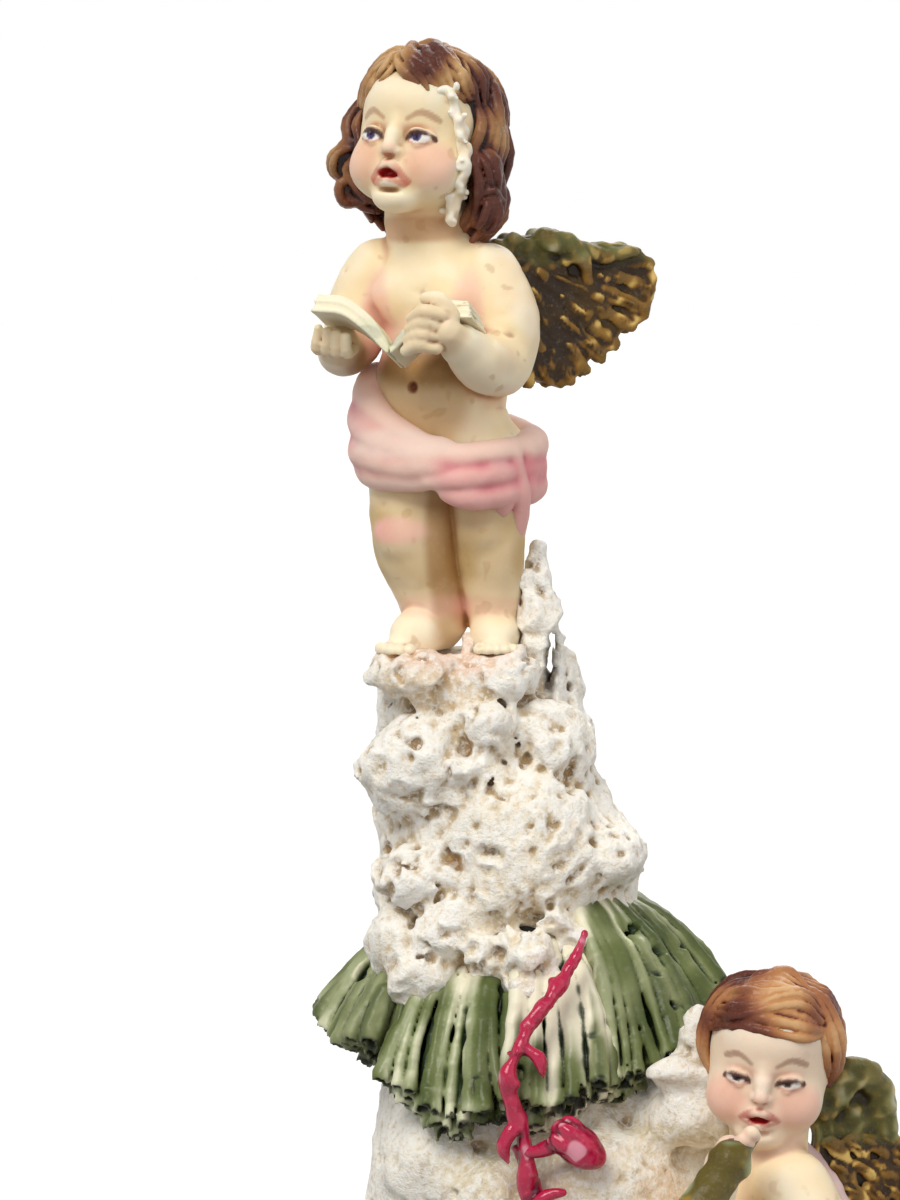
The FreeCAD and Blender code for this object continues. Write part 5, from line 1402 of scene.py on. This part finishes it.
def build_seated_figure():
    clay = Clay((-3.0, -38.5, 13.0), (24.0, -8.5, 76.0), step=0.22)
    clay.hold(SEAT)
    # legs over the ledge, feet and toes
    for line, radii in SEATED_LEGS:
        clay.limb(line, radii, 4, blend=0.8)
    clay.tube([(-4.6, -11.4, -6.6), (-5.0, -14.4, -7.8)], [2.4, 1.9], blend=0.8)
    clay.tube([(4.4, -11.6, -6.8), (4.2, -14.6, -8.0)], [2.4, 1.9], blend=0.8)
    toes(clay, (-5.1, -15.8, -8.2), (-0.1, -0.99))
    toes(clay, (4.2, -16.0, -8.4), (0.0, -1.0))
    # trunk
    clay.blob((-1.0, 0.2, 5.6), (7.6, 6.2, 5.8), blend=1.6)
    clay.blob((-1.2, -0.6, 14.4), (6.6, 5.8, 7.4), blend=2.0)
    clay.blob((-1.2, 0.2, 23.4), (6.4, 5.0, 6.4), blend=2.0)
    clay.blob((-0.6, -6.2, 11.6), (0.4, 0.8, 0.45), blend=0.3, carve=True)
    clay.tube([(-0.8, 0.4, 28.0), (-0.2, 0.0, 35.0)], [4.2, 3.7], blend=1.4)
    # arms: the viewer's right one hangs bare at the front, the other brings the horn to the mouth
    for line, radii in SEATED_ARMS:
        clay.limb(line, radii, 4, blend=0.8)
    knuckles = ((-5.5, -10.4, 32.7), (-4.9, -11.6, 33.4), (-4.1, -11.2, 33.0))
    fist = fingers(knuckles, ((0.75, 0, 0.7), (0.7, 0, 0.7), (0.6, 0, 0.7)))
    sculpt_hand(clay, (-5.2, -9.2, 32.0), (-4.7, -10.0, 33.6), fist)
    knuckles = ((-3.2, -12.6, 22.2), (-4.8, -13.6, 22.4), (-6.0, -12.8, 22.0))
    open_hand = fingers(knuckles, ((-0.5, 0, -1.1),) * 3)
    sculpt_hand(clay, (-1.8, -11.4, 19.8), (-3.4, -12.2, 20.6), open_hand, radius=0.6)
    clay.roughen(1.2, depth=0.05, seed=141)
    clay.hold(**SEATED_HEAD_FRAME)
    sculpt_head(clay, RESTING)
    ear = curve([(6.1, 0.2, 1.0), (6.7, 0.9, 0.4), (6.5, 0.8, -1.0), (6.0, 0.2, -1.6)], 3)
    clay.tube(ear, [0.5, 0.6, 0.5, 0.45], blend=0.3)
    clay.blob((6.0, 0.1, -0.2), (0.8, 0.7, 1.1), blend=0.3)

    def paint(coat):
        paint_skin(coat, crease_shade_and_mottle=0.75)
        coat.clay.hold(SEAT)
        coat.dab("E9BFAE", (-4.4, -10.6, 33.8), (2.6, 2.2, 2.4), soft=0.6, strength=0.7)
        coat.dab("F0BDAE", (-4.8, -13.0, 6.0), (2.6, 2.0, 2.0), soft=0.8, strength=0.5)
        coat.dab("F0BDAE", (4.6, -13.4, 6.0), (2.6, 2.0, 2.0), soft=0.8, strength=0.5)
        coat.clay.hold(**SEATED_HEAD_FRAME)
        coat.dab("F4DCCB", (0, -4.0, -0.5), (6.0, 4.0, 7.0), soft=0.5, strength=0.6)
        paint_head(coat, "4A2E2A", "8A5638", RESTING)

    finish_piece("seated_cherub_body", ["seated_cherub_figure"], clay, paint, SKIN)


def build_seated_hair():
    clay = Clay((3.0, -30.5, 57.5), (21.0, -10.0, 76.5), step=0.15)
    clay.hold(**SEATED_HEAD_FRAME)
    clay.blob((0.1, 1.6, 1.9), (6.3, 6.7, 6.5), blend=0.3)
    clay.blob((0.2, 3.6, -2.4), (5.7, 4.2, 4.4), blend=1.0)
    clay.blob((-0.4, -7.2, -3.6), (6.0, 7.4, 6.2), blend=0.5, carve=True)
    # swept over the crown and the forehead from a parting on the viewer's right
    for i, elevation in enumerate((86, 73, 61, 50, 40)):
        sweep = scalp(
            (62, elevation * 0.62 + 8, -0.2),
            (34, elevation * 0.84 + 6, 0.35),
            (-4, elevation * 0.92 + 1, 0.45),
            (-40, elevation * 0.80, 0.3),
            (-72, elevation * 0.66 - 5, 0.0),
        )
        lock(clay, sweep, 1.75, wave=0.35, seed=150 + i)
    # down the viewer's right side to the ear, and round the back
    for i, azimuth in enumerate(range(66, 282, 22)):
        fall = [on_skull(azimuth + 4 * k, 72 - 25 * k, 0.15 if k else -0.2) for k in range(5)]
        lock(clay, fall, 1.7, wave=0.2, seed=160 + i)
    lock(clay, scalp((58, 34, 0.0), (66, 22, 0.3), (64, 10, 0.1)), 0.9, strands=3, seed=180)
    clay.roughen(0.7, depth=0.08, seed=151)

    def paint(coat):
        coat.clay.hold(**SEATED_HEAD_FRAME)
        paint_hair(coat, "3E1A14", "85452F", "C08A58")

    finish_piece("seated_cherub_swept_hair", ["seated_cherub_hair"], clay, paint, HAIR)


def build_horn():
    clay = Clay((-8.0, -39.0, 36.0), (14.5, -25.0, 60.0), step=0.18)
    clay.hold(SEAT)
    line = curve([(-2.6, -10.0, 35.2), (-5.2, -11.8, 32.2), (-8.2, -13.0, 27.2), (-11.6, -14.0, 21.2)], 6)
    clay.tube(line, [0.85, 1.5, 1.9, 2.3, 3.6], blend=0.3)
    clay.blob((-12.4, -14.4, 20.0), (2.5, 2.5, 2.5), blend=0.4, carve=True)
    for share in (0.3, 0.62):
        at = line[int(share * (len(line) - 1))]
        clay.blob(at, 2.0 + share * 0.4, blend=0.3)
    clay.roughen(1.0, depth=0.16, seed=161)
    clay.roughen(0.5, depth=0.06, seed=162)

    def paint(coat):
        coat.cover("5E521F")
        # paler on the ridges: a painted highlight
        coat.lay("A88C3C", rise(coat.relief(0.4), 0.05, 0.3) * rise(coat.cloud(1.2, 163), -0.1, 0.6) * 0.8)
        coat.patches("A9B58A", 2.2, (0.35, 0.8), 0.7, seed=164)
        # darker in the hollows: painted shade
        coat.hollows("352B10", 0.5, (0.02, 0.3), 0.85)
        coat.gloss += 0.4

    finish_piece("seated_cherub_horn_cast", ["seated_cherub_horn"], clay, paint, WING)


def finish_scarf(name, node, clay):
    """A piece of lilac cloth, paler on its folds as a painted highlight and darker between them as painted
    shade.
    """

    def paint(coat):
        coat.cover("C4A0A4")
        coat.ridges("DCC3BE", 0.9, (0.04, 0.3), 0.8)
        coat.hollows("8E6468", 0.7, (0.03, 0.3), 0.85)
        coat.patches("B98F9A", 3.0, (0.1, 0.9), 0.5, seed=174)

    finish_piece(name, [node], clay, paint, CLOTH)


def build_scarf():
    """Lilac cloth: a scarf down the viewer's right side, and a drape over the lap."""
    clay = Clay((8.0, -27.0, 29.0), (24.5, -13.0, 60.5), step=0.2)
    clay.hold(SEAT)
    for shift, radius in ((0.0, 1.5), (1.2, 1.1), (-1.0, 1.1)):
        top = (2.6 + shift * 0.4, 1.4, 31.6)
        fall = [top, (5.4 + shift, 0.2, 26.4), (7.6 + shift, 0.2, 18.0), (7.8 + shift, -0.4, 8.0)]
        clay.limb(fall, [radius * 0.8, radius, radius * 1.2], 5, blend=0.25)
    clay.roughen(1.2, depth=0.15, seed=171)
    finish_scarf("seated_cherub_scarf_folds", "seated_cherub_scarf", clay)
    clay = Clay((-1.0, -37.5, 17.0), (24.5, -11.0, 40.5), step=0.24)
    clay.hold(SEAT)
    clay.blob((-0.6, -1.6, 6.0), (8.7, 7.6, 6.4), blend=1.2)
    clay.limb([(-4.4, -3.0, 6.6), (-5.2, -8.0, 7.6), (-5.0, -11.0, 7.0)], [5.2, 4.9, 4.6], 3, blend=1.0)
    clay.limb([(3.2, -3.0, 6.6), (4.2, -8.0, 7.4), (4.4, -11.2, 6.8)], [5.2, 4.9, 4.6], 3, blend=1.0)
    clay.limb([(0.0, -9.0, 6.0), (0.2, -13.0, 2.0), (0.0, -13.2, -4.0)], [3.6, 3.0, 2.2], 4, blend=1.2)
    for i in range(7):
        x = -7.5 + 2.5 * i
        crease = [(x * 0.8, -3.0, 12.6), (x, -9.0, 12.0), (x * 1.02, -15.8, 6.0)]
        clay.limb(crease, [0.3, 0.5, 0.35], 4, blend=0.6, carve=True)
    clay.blob((0, -3, 15.0), (7.4, 5.6, 3.6), blend=0.8, carve=True)
    clay.roughen(2.0, depth=0.2, seed=172)
    clay.roughen(0.8, depth=0.06, seed=173)
    finish_scarf("seated_cherub_lap_drape", "seated_cherub_drape", clay)


# --------------------------------------------------------------------------------------------- sea whip
# The sea-whip's line, from its root up over the skirt
STEM = (
    (-8.6, -26.8, 20.0), (-9.4, -24.4, 32.0), (-10.6, -22.6, 42.0), (-11.2, -21.0, 49.0),
    (-11.4, -20.8, 53.0), (-11.8, -21.0, 57.4), (-12.3, -21.5, 60.1), (-13.2, -22.0, 62.6),
    (-13.3, -22.3, 65.0), (-11.9, -21.6, 68.2), (-9.7, -20.0, 71.4), (-7.6, -17.8, 74.1),
    (-5.9, -15.6, 77.5),
)


def finish_whip(name, node, clay):
    """A piece of the magenta sea-whip."""

    def paint(coat):
        coat.cover("7C082C")
        # brighter red on the ridges: a painted highlight; darker in the hollows: painted shade
        coat.ridges("C41E4C", 0.4, (0.03, 0.25), 0.75)
        coat.hollows("560620", 0.4, (0.0, 0.25), 0.85)
        # pale pink glints on the finest ridges: a painted highlight
        coat.lay("F4B4C6", rise(coat.relief(0.25), 0.12, 0.35) * rise(coat.cloud(1.0, 183), 0.25, 0.65) * 0.6)
        coat.gloss += 0.75

    finish_piece(name, [node], clay, paint, GLOSS)


def build_sea_whip():
    clay = Clay((-17.0, -29.5, 17.0), (-1.5, -13.0, 80.5), step=0.18)
    line = curve(STEM, 5)
    clay.tube(line, [1.4, 1.25, 1.1, 0.9, 0.85, 0.75, 0.8, 0.65, 0.7, 0.55, 0.7, 0.6, 0.35], blend=0.25)
    # a second strand winds round the lower stem
    turns = np.linspace(0, 5 * math.pi, 26)
    twist = line[:26] + 0.75 * np.column_stack([np.cos(turns), np.sin(turns), 0 * turns])
    clay.tube(twist, [0.8, 0.7, 0.5], blend=0.15)
    # knobs and side shoots
    random = np.random.default_rng(180)
    for at in line[24:-3:2]:
        clay.blob(at + random.normal(0, 0.45, 3), random.uniform(0.25, 0.5), blend=0.25)
    shoots = (
        ((-12.0, -21.8, 67.4), (-10.6, -22.4, 66.6), (-10.0, -22.6, 64.4)),
        ((-12.4, -21.8, 59.6), (-13.8, -22.0, 58.0), (-13.4, -21.8, 56.2)),
        ((-11.2, -21.4, 51.6), (-9.6, -22.0, 53.0), (-8.2, -22.2, 53.4)),
    )
    for shoot in shoots:
        clay.limb(shoot, [0.55, 0.6, 0.3], 3, blend=0.3)
    clay.roughen(0.9, depth=0.25, seed=181)
    finish_whip("sea_whip_branch", "sea_whip_stem", clay)
    clay = Clay((-14.0, -27.0, 53.5), (-1.5, -18.0, 63.5), step=0.12)
    stalk = [(-12.0, -21.2, 57.2), (-10.6, -21.8, 57.2), (-9.0, -22.2, 57.8)]
    clay.limb(stalk, [0.5, 0.6, 0.9], blend=0.3)
    # the flower bud leans to the viewer's right: a core with two whorls of petals
    clay.hold((-6.9, -22.8, 58.2), (0, 128, 0))
    clay.blob((0, 0, 0.2), (1.95, 1.8, 3.1), blend=0.1)
    for up, size, petals in ((-1.0, 0.95, 6), (0.6, 0.9, 5)):
        for petal in range(petals):
            angle = 2 * math.pi * petal / petals + up
            at = (1.2 * math.cos(angle), 1.1 * math.sin(angle), up)
            clay.blob(at, (0.85 * size, 0.85 * size, 1.6 * size), blend=0.08)
    clay.roughen(0.9, depth=0.14, seed=182)
    finish_whip("sea_whip_flower_bud", "sea_whip_bud", clay)


# ------------------------------------------------------------------------------ the plain moulded parts
def moulded(name, colour, shade, roughness, grain=0.4, depth=0.02, **values):
    """A plain manufactured material: one colour, slightly uneven, with a fine grain."""
    n = Nodes(name)
    fine, broad = n.noise(grain, 3), n.noise(6.0, 2)
    tone = n.tint(colour, shade, n.span(broad, 0.3, 0.7, 0.0, 0.8))
    n.set(Base_Color=tone, Roughness=n.span(fine, 0.3, 0.7, *roughness), Normal=n.bump(fine, depth), **values)
    return n.material


def dress(material, *names):
    """Gives the shown CAD parts their material."""
    for name in names:
        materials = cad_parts[name].data.materials
        materials.clear()
        materials.append(material)


def dress_plain_parts():
    dress(moulded("black_rubber", "1B1B1D", "2B2B2D", (0.55, 0.8)), "inlet_grommet", "rubber_feet")
    dress(moulded("inlet_plastic", "E2E2DA", "CFD1CA", (0.3, 0.45)), "inlet_elbow", "air_stone_nipple")
    clear = dict(Transmission_Weight=0.8, IOR=1.4)
    dress(moulded("clear_hose", "E8F0EE", "D5E2DE", (0.08, 0.2), **clear), "riser_tube")
    dress(moulded("stone_grit", "8A94A3", "5E6876", (0.8, 0.95), grain=0.6, depth=0.25), "air_stone")
    dress(moulded("base_plastic", "202124", "2C2D31", (0.4, 0.6)), "air_stone_cradle", "base_plate")
    dress(moulded("steel", "BCBFC3", "A2A6AB", (0.22, 0.38), Metallic=1.0), "base_screws")
    dress(moulded("dowel_wire", "A9ABAE", "8F9296", (0.3, 0.45), Metallic=1.0), "leg_dowels", "wing_dowels")


# ------------------------------------------------------------------------------------------- everything
SKIN = painted("painted_skin", roughness=(0.4, 0.6), grain=0.5, grain_depth=0.02, skin=0.35)
GREEN = painted("green_coral", roughness=(0.35, 0.55), grain=0.6, grain_depth=0.05)
HAIR = painted("painted_hair", roughness=(0.4, 0.6), grain=0.35, grain_depth=0.05)
CLOTH = painted("painted_cloth", roughness=(0.5, 0.7), grain=0.5, grain_depth=0.03, skin=0.15)
PAPER = painted("painted_pages", roughness=(0.55, 0.7), grain=0.5, grain_depth=0.03)
WING = painted("gilded_wing", roughness=(0.35, 0.6), grain=0.4, grain_depth=0.08)
GLOSS = painted("magenta_enamel", roughness=(0.35, 0.5), grain=0.6, grain_depth=0.03, shine=0.35, coat=0.15)

build_spire()
build_mound()
for order, (place, *fan) in enumerate(FANS):
    build_fan(place, fan, 100 + 10 * order)
build_standing_figure()
build_standing_hair()
build_sash()
build_book()
for side, root, heading, seed in SPREAD_WINGS:
    build_spread_wing(f"standing_cherub_{side}_wing", f"standing_cherub_wing_{side}", root, heading, seed)
build_seated_figure()
build_seated_hair()
build_folded_wing()
build_horn()
build_scarf()
build_sea_whip()
dress_plain_parts()


# ------------------------------------------------------------------------------------ light, floor, camera
AIM = Vector((-0.019, 0.0, 0.109))  # what the camera and the lights point at; metres from here on
CAMERA_AZIMUTH, CAMERA_ELEVATION, CAMERA_DISTANCE = 0.0, 4.0, 0.50
LENS, SENSOR = 150, 36  # mm
NEAREST = 0.01  # nothing nearer to the camera is drawn
# name, azimuth, elevation, strength, softness in degrees, colour
LIGHTS = (
    ("key", -30, 48, 1.9, 30, (1.0, 0.97, 0.91)),
    ("fill", 55, 22, 0.5, 60, (1.0, 0.97, 0.93)),
    ("back", 165, 40, 0.9, 40, (1.0, 1.0, 1.0)),
)
# The studio's brightness from straight below (0) to straight above (1)
SKY = ((0.0, 0.22), (0.46, 0.26), (0.49, 1.0), (0.56, 1.0), (0.68, 0.5), (1.0, 0.45))
FLOOR_HALF = 9.0  # metres


def direction(azimuth, elevation):
    """The way from the object: azimuth 0 towards the viewer, +90 to the viewer's right."""
    a, e = math.radians(azimuth), math.radians(elevation)
    return Vector((math.sin(a) * math.cos(e), -math.cos(a) * math.cos(e), math.sin(e)))


def aim(name, data, way, distance):
    """An object at a distance that way from the aim point, looking at it."""
    thing = bpy.data.objects.new(name, data)
    thing.location = AIM + way * distance
    thing.rotation_euler = (-way).to_track_quat("-Z", "Y").to_euler()
    bpy.context.collection.objects.link(thing)
    return thing


def add_light(name, azimuth, elevation, strength, softness, colour):
    light = bpy.data.lights.new(name, "SUN")
    light.energy, light.angle, light.color = strength, math.radians(softness), colour
    aim(name, light, direction(azimuth, elevation), 1.0)


def build_floor():
    mesh = bpy.data.meshes.new("floor")
    corners = [(x * FLOOR_HALF, y * FLOOR_HALF, 0) for x, y in ((-1, -1), (1, -1), (1, 1), (-1, 1))]
    mesh.from_pydata(corners, [], [(0, 1, 2, 3)])
    floor = bpy.data.objects.new("floor", mesh)
    bpy.context.collection.objects.link(floor)
    n = Nodes("pale_floor")
    mesh.materials.append(n.set(Base_Color=n.tint("F4F4F3", "FFFFFF", n.noise(40.0)), Roughness=0.9))
    floor.visible_diffuse = False


def build_sky():
    """White at eye level, dimmer overhead, dim below: a plain studio's walls, ceiling and floor."""
    world = bpy.data.worlds.new("studio")
    bpy.context.scene.world = world
    world.use_nodes = True
    nodes, links = world.node_tree.nodes, world.node_tree.links
    split = nodes.new("ShaderNodeSeparateXYZ")
    ramp = nodes.new("ShaderNodeValToRGB")
    height = nodes.new("ShaderNodeMapRange")
    height.inputs["From Min"].default_value = -1.0
    links.new(nodes.new("ShaderNodeTexCoord").outputs["Generated"], split.inputs[0])
    links.new(split.outputs["Z"], height.inputs["Value"])
    links.new(height.outputs["Result"], ramp.inputs[0])
    links.new(ramp.outputs[0], nodes["Background"].inputs["Color"])
    while len(ramp.color_ramp.elements) < len(SKY):
        ramp.color_ramp.elements.new(0.5)
    for element, (place, grey) in zip(ramp.color_ramp.elements, SKY):
        element.position = place
        element.color = (grey, grey, grey, 1)


def build_stage():
    build_floor()
    build_sky()
    for light in LIGHTS:
        add_light(*light)
    view = bpy.context.scene.view_settings
    view.view_transform, view.look = "Standard", "None"


def add_camera():
    data = bpy.data.cameras.new("camera")
    data.lens, data.sensor_fit, data.sensor_height = LENS, "VERTICAL", SENSOR
    data.clip_start = NEAREST
    way = direction(CAMERA_AZIMUTH, CAMERA_ELEVATION)
    bpy.context.scene.camera = aim("camera", data, way, CAMERA_DISTANCE)


build_stage()
add_camera()
